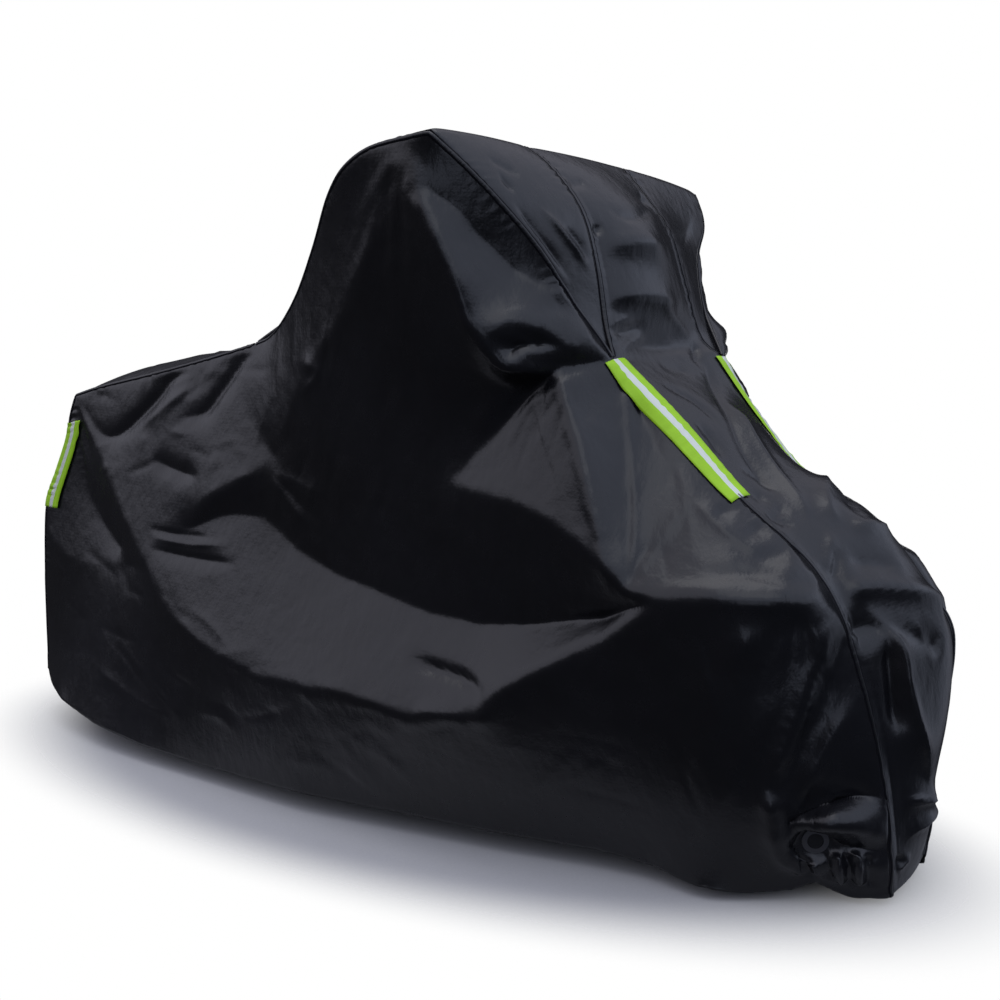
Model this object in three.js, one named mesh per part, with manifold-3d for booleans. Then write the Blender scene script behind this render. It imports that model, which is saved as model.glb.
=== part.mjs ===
// Fitted outdoor motorcycle cover of thin coated polyester, hanging in the shape a parked
// motorcycle gives it. Millimetres, +X to the front wheel, +Y to the rider's left, +Z up.
// Places are written from a point on the ground under the seat; the finished group is moved
// so that the origin is where the handlebar carries the cover.
import * as THREE from 'three';
import { mergeVertices } from 'three/addons/utils/BufferGeometryUtils.js';
import Module from 'manifold-3d';

const CLOTH = 2; // thickness of the doubled, coated cloth
const SEAM_GAP = 0.4; // each panel stops this far from the middle of a seam
const TAPE_WIDTH = 52;
const SEAM_ROW = TAPE_WIDTH / 2; // the first row of cells beside a side seam
const TAPE_LIFT = 0.8; // space between the cloth and a tape sewn on it
const TAPE_THICKNESS = 0.8;
const TIP_SHORT = 12; // a gusset's points stop this far from the end of its seams

// cells along each stretch of the side seam, and down and across the panels
const CELLS = { seat: 10, rise: 8, fall: 7, front: 11, drop: 16, strip: 6, lens: 4 };

// where the handlebar carries the cover, under its top
const HANDLEBAR_REST = new THREE.Vector3(262, 0, 1292);

// the seam of the right side panel, from the tail over the bar end to the front hem;
// hem is the x of the hem point that hangs below it
const SIDE_SEAM = [
  { part: 'seat', x: -1063, y: -134, z: 803, hem: -1198 },
  { part: 'seat', x: -962, y: -150, z: 826, hem: -1105 },
  { part: 'seat', x: -762, y: -170, z: 863, hem: -880 },
  { part: 'seat', x: -582, y: -185, z: 899, hem: -670 },
  { part: 'rise', x: -396, y: -200, z: 940, hem: -470 },
  { part: 'rise', x: -341, y: -208, z: 956, hem: -410 },
  { part: 'rise', x: -236, y: -250, z: 1026, hem: -300 },
  { part: 'rise', x: -130, y: -305, z: 1130, hem: -215 },
  { part: 'rise', x: -39, y: -360, z: 1228, hem: -140 },
  { part: 'rise', x: 35, y: -400, z: 1275, hem: -70 },
  { part: 'rise', x: 101, y: -415, z: 1300, hem: 0 },
  { part: 'rise', x: 187, y: -425, z: 1312, hem: 80 },
  { part: 'fall', x: 237, y: -420, z: 1320, hem: 140 },
  { part: 'fall', x: 298, y: -360, z: 1240, hem: 220 },
  { part: 'fall', x: 369, y: -280, z: 1123, hem: 300 },
  { part: 'fall', x: 403, y: -235, z: 1037, hem: 355 },
  { part: 'front', x: 459, y: -179, z: 929, hem: 430 },
  { part: 'front', x: 590, y: -170, z: 812, hem: 545 },
  { part: 'front', x: 706, y: -167, z: 698, hem: 640 },
  { part: 'front', x: 798, y: -166, z: 629, hem: 720 },
  { part: 'front', x: 852, y: -164, z: 575, hem: 780 },
  { part: 'front', x: 897, y: -158, z: 495, hem: 830 },
  { part: 'front', x: 923, y: -150, z: 411, hem: 865 },
  { part: 'front', x: 947, y: -135, z: 308, hem: 915 },
  { part: 'foot', x: 962, y: -115, z: 200, hem: 968 },
  { part: 'foot', x: 970, y: -98, z: 85, hem: 968 },
  { part: 'foot', x: 968, y: -84, z: 22, hem: 968 },
];

// the left seam from the lower bar end to the front wheel, which is turned towards it
const LEFT_SEAM = [
  { part: 'fall', x: 306, y: 436, z: 1257, hem: 140 },
  { part: 'fall', x: 331, y: 424, z: 1203, hem: 220 },
  { part: 'fall', x: 352, y: 350, z: 1128, hem: 290 },
  { part: 'fall', x: 396, y: 284, z: 1034, hem: 345 },
  { part: 'front', x: 500, y: 172, z: 922, hem: 430 },
  { part: 'front', x: 588, y: 170, z: 806, hem: 545 },
  { part: 'front', x: 690, y: 167, z: 694, hem: 640 },
  { part: 'front', x: 788, y: 164, z: 652, hem: 720 },
  { part: 'front', x: 862, y: 162, z: 588, hem: 780 },
  { part: 'front', x: 936, y: 155, z: 506, hem: 830 },
  { part: 'front', x: 981, y: 145, z: 446, hem: 865 },
  { part: 'front', x: 978, y: 137, z: 308, hem: 915 },
  { part: 'foot', x: 966, y: 120, z: 200, hem: 968 },
  { part: 'foot', x: 972, y: 100, z: 90, hem: 968 },
  { part: 'foot', x: 968, y: 84, z: 38, hem: 968 },
];

// the seam between a handlebar gusset and the middle strip, right side and left side
const STRIP_SEAM_RIGHT = [
  { part: 'rise', x: -396, y: -200, z: 940 },
  { part: 'rise', x: -250, y: -190, z: 1028 },
  { part: 'rise', x: -90, y: -178, z: 1165 },
  { part: 'rise', x: 30, y: -168, z: 1252 },
  { part: 'rise', x: 150, y: -162, z: 1298 },
  { part: 'fall', x: 258, y: -159, z: 1309 },
  { part: 'fall', x: 300, y: -155, z: 1280 },
  { part: 'fall', x: 370, y: -150, z: 1197 },
  { part: 'fall', x: 408, y: -155, z: 1092 },
  { part: 'fall', x: 436, y: -168, z: 985 },
  { part: 'front', x: 459, y: -179, z: 929 },
];
const STRIP_SEAM_LEFT = [
  { part: 'rise', x: -396, y: 200, z: 940 },
  { part: 'rise', x: -245, y: 192, z: 1026 },
  { part: 'rise', x: -85, y: 180, z: 1155 },
  { part: 'rise', x: 40, y: 170, z: 1234 },
  { part: 'rise', x: 160, y: 165, z: 1278 },
  { part: 'fall', x: 284, y: 162, z: 1290 },
  { part: 'fall', x: 348, y: 155, z: 1222 },
  { part: 'fall', x: 396, y: 150, z: 1162 },
  { part: 'fall', x: 425, y: 156, z: 1070 },
  { part: 'fall', x: 462, y: 166, z: 955 },
  { part: 'front', x: 502, y: 171, z: 924 },
];

// the elastic hem of the right side
const HEM = [
  { x: -1198, y: -146, z: 100 },
  { x: -1105, y: -207, z: 85 },
  { x: -1022, y: -246, z: 70 },
  { x: -845, y: -288, z: 50 },
  { x: -670, y: -307, z: 40 },
  { x: -480, y: -317, z: 40 },
  { x: -164, y: -335, z: 45 },
  { x: 70, y: -313, z: 50 },
  { x: 290, y: -286, z: 50 },
  { x: 482, y: -246, z: 50 },
  { x: 590, y: -232, z: 40 },
  { x: 699, y: -245, z: 20 },
  { x: 760, y: -203, z: 20 },
  { x: 818, y: -165, z: 28 },
  { x: 856, y: -145, z: 48 },
  { x: 882, y: -128, z: 32 },
  { x: 908, y: -116, z: 20 },
  { x: 968, y: -84, z: 22 },
];

// the rear edge of the right side, between the tail panel and the side panel
const REAR_EDGE = [
  { x: -1063, y: -134, z: 803 },
  { x: -1084, y: -136, z: 752 },
  { x: -1096, y: -137, z: 701 },
  { x: -1138, y: -140, z: 614 },
  { x: -1178, y: -143, z: 536 },
  { x: -1190, y: -148, z: 382 },
  { x: -1195, y: -148, z: 227 },
  { x: -1198, y: -146, z: 100 },
];
const REAR_REACH = 4; // columns of the side panel over which that bend fades out
const SQUARE_REACH = 4; // rows over which the columns turn from square to the seam to the hem

// folds of the right side panel: each is a line along a crest or a trough, with its x, its
// height z and its distance out from the middle plane of the motorcycle
const FOLDS = [
  { fold: 'swag crest behind', x: [-1037, -875, -702, -566, -440, -248, -30],
    z: [793, 664, 501, 388, 321, 280, 289], out: [150, 215, 280, 320, 345, 365, 385] },
  { fold: 'swag crest at the footrest', x: [-30, 162, 246, 309, 364],
    z: [289, 272, 294, 298, 353], out: [385, 392, 392, 388, 368] },
  { fold: 'swag crest ahead', x: [364, 515, 605, 753, 856], z: [353, 454, 522, 541, 555],
    out: [368, 318, 290, 268, 240] },
  { fold: 'waist of the hump', x: [-258, -68, 86, 298, 450], z: [598, 528, 488, 449, 480],
    out: [268, 285, 292, 302, 296] },
  { fold: 'hollow under the hump', x: [-40, 60, 120], z: [900, 760, 600], out: [315, 290, 280] },
  { fold: 'ridge below the bar end', x: [205, 224, 273, 325, 345], z: [1287, 1221, 1054, 926, 916],
    out: [452, 440, 402, 372, 360] },
  { fold: 'back of the hump', x: [150, 40, -90], z: [1240, 1080, 930], out: [424, 360, 300] },
  { fold: 'fold to the lower junction', x: [345, 413, 459], z: [916, 926, 929], out: [360, 300, 179] },
  { fold: 'knee corner upper edge', x: [413, 330, 242], z: [926, 815, 715], out: [300, 330, 362] },
  { fold: 'knee corner lower edge', x: [242, 444, 528, 605], z: [715, 661, 569, 522],
    out: [362, 335, 308, 290] },
  { fold: 'engine guard ridge', x: [413, 466, 552], z: [926, 780, 540], out: [300, 296, 294] },
  { fold: 'engine guard front ridge', x: [502, 558, 595], z: [863, 698, 525], out: [222, 262, 291] },
  { fold: 'pillow below the seat', x: [-299, -223, -231, -270, -395, -461],
    z: [932, 854, 753, 670, 618, 555], out: [220, 250, 262, 276, 280, 284] },
  { fold: 'trough under the pillow', x: [-187, -193, -248, -378, -464],
    z: [854, 753, 640, 578, 520], out: [228, 232, 240, 256, 282] },
  { fold: 'trough behind the swag', x: [-1045, -1010, -925, -782, -607],
    z: [740, 640, 520, 455, 320], out: [136, 160, 196, 238, 292] },
  { fold: 'wheel pouch rear ridge', x: [856, 886, 859, 816, 826, 851],
    z: [555, 482, 391, 246, 155, 56], out: [240, 236, 246, 262, 240, 168] },
  { fold: 'skirt behind the front wheel', x: [700, 730, 750], z: [430, 250, 100],
    out: [262, 262, 240] },
  { fold: 'wheel pouch hollow', x: [905, 885, 870], z: [470, 380, 290], out: [172, 196, 222] },
  { fold: 'wheel pouch lower lip', x: [846, 900, 949], z: [176, 182, 165], out: [214, 196, 150] },
  { fold: 'recess under the lip', x: [858, 905, 950], z: [110, 110, 105], out: [172, 148, 112] },
];

// folds that only one side has
const RIGHT_FOLDS = [
  { fold: 'hollow ahead of the bar end', x: [290, 345, 400], z: [1180, 1090, 1010],
    out: [352, 288, 236] },
];
const LEFT_FOLDS = [
  { fold: 'cloth drawn from the low bar end to the tank', x: [330, 373, 443, 506],
    z: [1080, 992, 922, 833], out: [394, 362, 304, 282] },
];

// how the middle strip stands out from the line between its two seams, by place along the
// stretches of the side seam, and how far to the left the highest place lies
const STRIP_CROWN = [
  { at: 0, crown: 6, lean: 0.5 },
  { at: 0.12, crown: 28, lean: 0.5 },
  { at: 0.25, crown: 33, lean: 0.5 },
  { at: 0.5, crown: 33, lean: 0.5 },
  { at: 0.85, crown: 12, lean: 0.5 },
  { at: 1.05, crown: -6, lean: 0.5 },
  { at: 1.4, crown: 8, lean: 0.5 },
  { at: 1.8, crown: 2, lean: 0.5 },
  { at: 2, crown: 4, lean: 0.5 },
  { at: 2.3, crown: 12, lean: 0.5 },
  { at: 2.8, crown: -16, lean: 0.5 },
  { at: 3.05, crown: 4, lean: 0.5 },
  { at: 3.3, crown: 6, lean: 0.55 },
  { at: 3.4, crown: 34, lean: 0.58 },
  { at: 3.6, crown: 54, lean: 0.58 },
  { at: 3.85, crown: 46, lean: 0.55 },
  { at: 4, crown: 34, lean: 0.5 },
  { at: 5, crown: 4, lean: 0.5 },
];
const GUSSET_CROWN = 3; // how far a gusset stands out at its widest
const GUSSET_WIDTH = 265; // the widest place of a gusset

// how far the tail panel stands out between the two rear edges
const TAIL_CROWN = 26;

// the left side repeats the right, with the turned handlebar and the lean of the parked
// motorcycle, which act above the tank, and with the front wheel turned towards it
const BAR_TURN = { forward: 80, down: -66, fromZ: 600, toZ: 1300, fromX: -396, toX: 0 };
const WHEEL_TURN = { forward: 72, z: 455, spread: 105, fromX: 700, toX: 880 };

// the reflective tapes: rows of cells that each covers along its seam
const FRONT_TAPE = { from: 0, to: 4 };
const REAR_TAPE = { from: 2, to: 7 };

// lock eyelets low at the front wheel, and the cloth corner that carries each
const EYELET = {
  x: 866, z: 126, hole: 14, barrel: 15.6, flange: 23, sheet: 1.2, clear: 0.4, sides: 32,
};
// the cloth under an eyelet is flat: distance out at its middle, slopes, and the flat's reach
const EYELET_SEAT = { out: 178, slopeX: -0.6, slopeZ: 0.1, flat: 66, fade: 104 };
const LOCK_CORNER = { fromColumn: 31, fromRow: 8 };

const CLOTH_LOOK = { color: 0x1b1c20, roughness: 0.45, metalness: 0 };
const TAPE_LOOK = { color: 0xa2d016, roughness: 0.5, metalness: 0 };
const METAL_LOOK = { color: 0xc9cbcc, roughness: 0.25, metalness: 1 };

const wasm = await Module();
wasm.setup();

const cover = new THREE.Group();

// ---- curves ----------------------------------------------------------------------------

const STEPS_A_ROW = 12; // fine steps between two rows of a table
const even = (steps) => Array.from({ length: steps + 1 }, (_, k) => k / steps);

// a smooth line through table rows, cut at shares of its length; the hem column follows
function smoothLine(rows, shares) {
  const curve = new THREE.CatmullRomCurve3(rows.map((r) => new THREE.Vector3(r.x, r.y, r.z)), false,
    'centripetal');
  const fine = STEPS_A_ROW * (rows.length - 1);
  const points = [];
  for (let i = 0; i <= fine; i++) {
    const place = (i / fine) * (rows.length - 1);
    const row = Math.min(Math.floor(place), rows.length - 2);
    const point = curve.getPoint(i / fine);
    point.hem = THREE.MathUtils.lerp(rows[row].hem, rows[row + 1].hem, place - row);
    points.push(point);
  }
  const run = [0];
  for (let i = 1; i <= fine; i++) run.push(run[i - 1] + points[i].distanceTo(points[i - 1]));
  return shares.map((share) => {
    const goal = Math.min(run[fine] * share, run[fine] - 1e-6);
    const i = Math.max(run.findIndex((s) => s > goal), 1);
    const t = (goal - run[i - 1]) / (run[i] - run[i - 1]);
    const point = points[i - 1].clone().lerp(points[i], t);
    point.hem = THREE.MathUtils.lerp(points[i - 1].hem, points[i].hem, t);
    return point;
  });
}

// a column of a table read at any place between its rows
function readTable(rows, key, value, at) {
  const i = Math.min(Math.max(rows.findIndex((r) => r[key] >= at), 1), rows.length - 1);
  const t = THREE.MathUtils.clamp((at - rows[i - 1][key]) / (rows[i][key] - rows[i - 1][key]), 0, 1);
  return THREE.MathUtils.lerp(rows[i - 1][value], rows[i][value], t);
}

// the left-hand twin of a place on the right, moved by the turned handlebar and wheel
function toLeft(point) {
  const high = THREE.MathUtils.smoothstep(point.z, BAR_TURN.fromZ, BAR_TURN.toZ);
  const turn = high * THREE.MathUtils.smoothstep(point.x, BAR_TURN.fromX, BAR_TURN.toX);
  const offWheel = (point.z - WHEEL_TURN.z) / WHEEL_TURN.spread;
  const wheel = Math.exp(-offWheel * offWheel)
    * THREE.MathUtils.smoothstep(point.x, WHEEL_TURN.fromX, WHEEL_TURN.toX);
  const forward = BAR_TURN.forward * turn + WHEEL_TURN.forward * wheel;
  return { ...point, x: point.x + forward, y: -point.y, z: point.z + BAR_TURN.down * turn * turn };
}

// ---- a skin stretched over fold lines --------------------------------------------------

const RASTER = { x0: -1320, z0: -40, cell: 12, nx: 200, nz: 118, sweeps: 600, pull: 1.9, rounds: 3 };
const START_OUT = 250;

// heights on a raster, held at the fold lines, taut in between and then rounded a little
function stretchSkin(lines) {
  const { x0, z0, cell, nx, nz, sweeps, pull, rounds } = RASTER;
  let out = new Float64Array(nx * nz).fill(START_OUT);
  const held = new Float64Array(nx * nz);
  const sum = new Float64Array(nx * nz);
  for (const line of lines) {
    for (let k = 1; k < line.x.length; k++) {
      const long = Math.hypot(line.x[k] - line.x[k - 1], line.z[k] - line.z[k - 1]);
      const dabs = Math.ceil((2 * long) / cell) + 1;
      for (let d = 0; d <= dabs; d++) {
        const t = d / dabs;
        const i = Math.round((THREE.MathUtils.lerp(line.x[k - 1], line.x[k], t) - x0) / cell);
        const j = Math.round((THREE.MathUtils.lerp(line.z[k - 1], line.z[k], t) - z0) / cell);
        sum[j * nx + i] += THREE.MathUtils.lerp(line.out[k - 1], line.out[k], t);
        held[j * nx + i] += 1;
      }
    }
  }
  for (let c = 0; c < nx * nz; c++) if (held[c]) out[c] = sum[c] / held[c];
  const around = (heights, i, j) => {
    const c = j * nx + i;
    const west = heights[i > 0 ? c - 1 : c + 1];
    const east = heights[i < nx - 1 ? c + 1 : c - 1];
    const below = heights[j > 0 ? c - nx : c + nx];
    const above = heights[j < nz - 1 ? c + nx : c - nx];
    return (west + east + below + above) / 4;
  };
  for (let s = 0; s < sweeps; s++) {
    for (let j = 0; j < nz; j++) {
      for (let i = 0; i < nx; i++) {
        const c = j * nx + i;
        if (!held[c]) out[c] += pull * (around(out, i, j) - out[c]);
      }
    }
  }
  for (let r = 0; r < rounds; r++) {
    out = out.map((height, c) => (height + around(out, c % nx, Math.floor(c / nx))) / 2);
  }
  return (x, z) => {
    const fx = THREE.MathUtils.clamp((x - x0) / cell, 0, nx - 1.001);
    const fz = THREE.MathUtils.clamp((z - z0) / cell, 0, nz - 1.001);
    const c = Math.floor(fz) * nx + Math.floor(fx);
    const low = THREE.MathUtils.lerp(out[c], out[c + 1], fx % 1);
    const high = THREE.MathUtils.lerp(out[c + nx], out[c + nx + 1], fx % 1);
    return THREE.MathUtils.lerp(low, high, fz % 1);
  };
}

const asLine = (points) => ({
  x: points.map((p) => p.x), z: points.map((p) => p.z), out: points.map((p) => Math.abs(p.y)),
});

// the flat of cloth that an eyelet clamps, faded into the folds around it
function withEyeletSeat(skin) {
  return (x, z) => {
    const dx = x - EYELET.x;
    const dz = z - EYELET.z;
    const share = THREE.MathUtils.smoothstep(Math.hypot(dx, dz), EYELET_SEAT.flat, EYELET_SEAT.fade);
    const flat = EYELET_SEAT.out + EYELET_SEAT.slopeX * dx + EYELET_SEAT.slopeZ * dz;
    return THREE.MathUtils.lerp(flat, skin(x, z), share);
  };
}

// ---- panels as grids of points ---------------------------------------------------------

// the rows of points down a side panel, as shares of a column of the given length
function dropShares(long) {
  const first = Math.min(SEAM_ROW / long, 2 / CELLS.drop);
  return Array.from({ length: CELLS.drop + 1 }, (_, j) =>
    (j === 0 ? 0 : first + ((1 - first) * (j - 1)) / (CELLS.drop - 1)));
}

// along the seat the first cell is as wide as the tape beside the rear edge
function seatShares(rows) {
  const long = Math.hypot(rows[0].x - rows.at(-1).x, rows[0].z - rows.at(-1).z);
  const first = TAPE_WIDTH / long;
  return [0, ...even(CELLS.seat - 1).map((share) => first + (1 - first) * share)];
}

// one named stretch of a seam table, up to the first row of the next stretch
function seamPart(rows, part) {
  const first = rows.findIndex((r) => r.part === part);
  const last = rows.findLastIndex((r) => r.part === part);
  const stretch = rows.slice(first, Math.min(last + 2, rows.length));
  if (part === 'foot') return smoothLine(stretch, dropShares(rows[first].z - rows[last].z));
  if (part === 'seat') return smoothLine(stretch, seatShares(stretch));
  return smoothLine(stretch, even(CELLS[part]));
}

const joined = (...stretches) => stretches.flatMap((points, k) => (k ? points.slice(1) : points));

// how far the rear edge lies from a straight line between its ends, row by row
function rearBend(shares) {
  const edge = smoothLine(REAR_EDGE, shares);
  const [top] = edge;
  return edge.map((p, j) => p.clone().sub(top.clone().lerp(edge.at(-1), shares[j])));
}

// seen from the side, how far the first row of a column must move to lie square to the seam
function squareOff(seam, i, low) {
  const top = seam[i];
  const run = seam[i + 1].clone().sub(seam[Math.max(i - 1, 0)]).setY(0).normalize();
  const down = low.clone().sub(top).setY(0).normalize();
  return new THREE.Vector3(run.z, 0, -run.x).sub(down).multiplyScalar(SEAM_ROW);
}

// the first row lies one seam row away from the seam, measured along the cloth
const SETTLE_TURNS = 4;
function firstRowPoint(top, start, skin, side) {
  const point = start.clone();
  for (let turn = 0; turn < SETTLE_TURNS; turn++) {
    point.sub(top).setLength(SEAM_ROW).add(top);
    point.y = side * skin(point.x, point.z);
  }
  return point;
}

// a side panel: columns run from the seam down to the hem, and the last is the seam's foot
function sideGrid(seam, foot, hemRows, folds, side) {
  const skin = withEyeletSeat(stretchSkin([asLine(joined(seam, foot)), asLine(hemRows), ...folds]));
  const grid = seam.slice(0, -1).map((top, i) => {
    const low = new THREE.Vector3(top.hem, 0, readTable(hemRows, 'x', 'z', top.hem));
    low.y = readTable(hemRows, 'x', 'y', top.hem);
    const shares = dropShares(Math.hypot(top.x - low.x, top.z - low.z));
    const bend = rearBend(shares);
    const square = squareOff(seam, i, low);
    return shares.map((share, j) => {
      if (share === 0) return new THREE.Vector3().copy(top);
      if (share === 1) return low;
      const point = new THREE.Vector3().lerpVectors(top, low, share);
      point.addScaledVector(bend[j], Math.max(1 - i / REAR_REACH, 0));
      if (i > 0) point.addScaledVector(square, Math.max(1 - (j - 1) / SQUARE_REACH, 0));
      point.y = side * skin(point.x, point.z);
      return j === 1 && i > 0 ? firstRowPoint(top, point, skin, side) : point;
    });
  });
  return [...grid, foot];
}

// points from the right edge of a strip to its left edge, standing out in the middle
function across(right, left, cells, crown, { edgeRow = 0, lean = 0.5 } = {}) {
  const edge = edgeRow ? Math.min(edgeRow / right.distanceTo(left), 1 / cells) : 1 / cells;
  const skew = Math.log(0.5) / Math.log(lean);
  return Array.from({ length: cells + 1 }, (_, k) => {
    if (k === 0) return new THREE.Vector3().copy(right);
    if (k === cells) return new THREE.Vector3().copy(left);
    const t = edge + ((1 - 2 * edge) * (k - 1)) / (cells - 2);
    const rise = Math.sin(Math.PI * t ** skew);
    return new THREE.Vector3().lerpVectors(right, left, t).addScaledVector(crown, rise);
  });
}

// the way out of the cover along a strip: square to its run, seen from the side
function wayOut(rights, lefts, k) {
  const middle = (n) => new THREE.Vector3().addVectors(rights[n], lefts[n]);
  const before = middle(Math.max(k - 1, 0));
  const after = middle(Math.min(k + 1, rights.length - 1));
  const run = after.sub(before).setY(0).normalize();
  return new THREE.Vector3(-run.z, 0, run.x);
}

function stripGrid(rights, lefts, places) {
  return rights.map((edge, k) => {
    const crown = readTable(STRIP_CROWN, 'at', 'crown', places[k]);
    const lean = readTable(STRIP_CROWN, 'at', 'lean', places[k]);
    const lift = wayOut(rights, lefts, k).multiplyScalar(crown);
    return across(edge, lefts[k], CELLS.strip, lift, { edgeRow: SEAM_ROW, lean });
  });
}

// a gusset narrows to a point just short of where its two seams meet
function gussetGrid(outer, inner, outerIsRight) {
  const last = outer.length - 1;
  const tip = (end, next) => {
    const middle = new THREE.Vector3().lerpVectors(outer[next], inner[next], 0.5);
    const step = middle.sub(outer[end]).normalize().multiplyScalar(TIP_SHORT);
    return Array(CELLS.lens + 1).fill(step.add(outer[end]));
  };
  return outer.map((edge, k) => {
    if (k === 0) return tip(0, 1);
    if (k === last) return tip(last, last - 1);
    const bulge = (GUSSET_CROWN * edge.distanceTo(inner[k])) / GUSSET_WIDTH;
    const lift = wayOut(outer, inner, k).multiplyScalar(bulge);
    const [from, to] = outerIsRight ? [edge, inner[k]] : [inner[k], edge];
    return across(from, to, CELLS.lens, lift);
  });
}

// ---- grids into closed sheets ----------------------------------------------------------

const reversed = (grid) => grid.slice().reverse();
const wholeGrid = () => true;

// the triangles of the cells of a grid, facing out of the cover
function cellTriangles(grid, keep = wholeGrid) {
  const triangles = [];
  for (let i = 0; i + 1 < grid.length; i++) {
    for (let j = 0; j + 1 < grid[0].length; j++) {
      if (!keep(i, j)) continue;
      triangles.push([grid[i][j], grid[i][j + 1], grid[i + 1][j + 1]]);
      triangles.push([grid[i][j], grid[i + 1][j + 1], grid[i + 1][j]]);
    }
  }
  return triangles.filter((corners) => new Set(corners.map(keyOf)).size === 3);
}

const keyOf = (p) => `${p.x.toFixed(2)} ${p.y.toFixed(2)} ${p.z.toFixed(2)}`;
const outwards = new Map(); // the way out at each point, shared by the panels that meet there
const meetings = new Map(); // how many panels meet at a point

// every panel's faces add to the way out at their corners
function survey(triangles) {
  for (const corners of triangles) {
    const [a, b, c] = corners;
    const face = new THREE.Vector3().crossVectors(b.clone().sub(a), c.clone().sub(a));
    for (const key of corners.map(keyOf)) {
      if (!outwards.has(key)) outwards.set(key, new THREE.Vector3());
      outwards.get(key).add(face);
    }
  }
  const keys = new Set(triangles.flat().map(keyOf));
  for (const key of keys) meetings.set(key, (meetings.get(key) || 0) + 1);
}

const wayOutAt = (point) => outwards.get(keyOf(point)).clone().normalize();

// a closed sheet between two offsets from the triangles; its edges step back from seams
function closedSheet(triangles, low, high) {
  const points = new Map();
  for (const corners of triangles) {
    const middle = new THREE.Vector3().add(corners[0]).add(corners[1]).add(corners[2]).divideScalar(3);
    for (const p of corners) {
      const key = keyOf(p);
      if (!points.has(key)) points.set(key, { at: p, inside: new THREE.Vector3(), row: points.size });
      points.get(key).inside.add(middle.clone().sub(p));
    }
  }
  const edges = new Map();
  for (const corners of triangles) {
    const keys = corners.map(keyOf);
    keys.forEach((key, k) => {
      const next = keys[(k + 1) % 3];
      if (!edges.delete(`${next}|${key}`)) edges.set(`${key}|${next}`, [key, next]);
    });
  }
  const rim = new Map();
  for (const [from, to] of edges.values()) {
    rim.set(from, { ...rim.get(from), next: to });
    rim.set(to, { ...rim.get(to), before: from });
  }
  const stepBack = (key) => {
    const { at, inside } = points.get(key);
    if (!rim.has(key) || (meetings.get(key) || 0) < 2) return new THREE.Vector3();
    const { before, next } = rim.get(key);
    const along = points.get(next).at.clone().sub(points.get(before).at).normalize();
    const away = wayOutAt(at);
    const step = inside.clone();
    step.addScaledVector(along, -step.dot(along)).addScaledVector(away, -step.dot(away));
    return step.normalize().multiplyScalar(SEAM_GAP);
  };
  const layers = [high, low].map((offset) => [...points.entries()].map(([key, { at }]) =>
    at.clone().addScaledVector(wayOutAt(at), offset).add(stepBack(key))));
  const under = points.size;
  const index = [];
  for (const corners of triangles) {
    const [a, b, c] = corners.map((p) => points.get(keyOf(p)).row);
    index.push(a, b, c, under + a, under + c, under + b);
  }
  for (const [from, to] of edges.values()) {
    const a = points.get(from).row;
    const b = points.get(to).row;
    index.push(a, under + a, under + b, a, under + b, b);
  }
  const geometry = new THREE.BufferGeometry();
  const corners = layers.flat().flatMap((p) => p.toArray());
  geometry.setAttribute('position', new THREE.Float32BufferAttribute(corners, 3));
  geometry.setIndex(index);
  return geometry;
}

function toSolid(geometry) {
  const bare = geometry.clone();
  for (const name of ['normal', 'uv']) bare.deleteAttribute(name);
  const merged = mergeVertices(bare, 1e-4);
  return new wasm.Manifold(new wasm.Mesh({
    numProp: 3,
    vertProperties: new Float32Array(merged.attributes.position.array),
    triVerts: new Uint32Array(merged.index.array),
  }));
}

function toGeometry(solid) {
  const mesh = solid.getMesh();
  const geometry = new THREE.BufferGeometry();
  geometry.setAttribute('position', new THREE.Float32BufferAttribute(mesh.vertProperties, 3));
  geometry.setIndex(Array.from(mesh.triVerts));
  return geometry;
}

function addPiece(name, geometry, look) {
  const mesh = new THREE.Mesh(geometry, new THREE.MeshStandardMaterial(look));
  mesh.name = name;
  cover.add(mesh);
  return mesh;
}

// ---- eyelets ---------------------------------------------------------------------------

// where an eyelet sits on a side, and its way out
function eyeletPlace(side) {
  const middle = new THREE.Vector3(EYELET.x, side * EYELET_SEAT.out, EYELET.z);
  const out = new THREE.Vector3(-EYELET_SEAT.slopeX, side, -EYELET_SEAT.slopeZ).normalize();
  return { middle, out };
}

function eyeletRing() {
  const { hole, barrel, flange, sheet, clear, sides } = EYELET;
  const face = clear + sheet;
  const back = -CLOTH - clear;
  const profile = [
    [hole, face], [flange, face], [flange, clear], [barrel, clear],
    [barrel, back], [flange, back], [flange, back - sheet], [hole, back - sheet], [hole, face],
  ];
  return new THREE.LatheGeometry(profile.reverse().map(([r, y]) => new THREE.Vector2(r, y)), sides);
}

function eyeletCutter(place) {
  const round = new THREE.Shape().absarc(0, 0, EYELET.barrel + EYELET.clear, 0, 2 * Math.PI);
  const depth = 20 * CLOTH; // far enough to pass right through
  const curveSegments = EYELET.sides / 2;
  const rod = new THREE.ExtrudeGeometry(round, { depth, bevelEnabled: false, curveSegments });
  rod.translate(0, 0, -depth / 2);
  const turn = new THREE.Quaternion().setFromUnitVectors(new THREE.Vector3(0, 0, 1), place.out);
  rod.applyQuaternion(turn);
  rod.translate(place.middle.x, place.middle.y, place.middle.z);
  return rod;
}

// ---- the cover -------------------------------------------------------------------------

const rightRows = SIDE_SEAM;
const leftRows = SIDE_SEAM.map(toLeft);
leftRows.splice(-LEFT_SEAM.length, LEFT_SEAM.length, ...LEFT_SEAM);

const PARTS = ['seat', 'rise', 'fall', 'front', 'foot'];
function stretches(rows, parts) {
  return Object.fromEntries(parts.map((part) => [part, seamPart(rows, part)]));
}
const right = stretches(rightRows, PARTS);
const left = stretches(leftRows, PARTS);
const lensRight = joined(right.rise, right.fall);
const lensLeft = joined(left.rise, left.fall);

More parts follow.
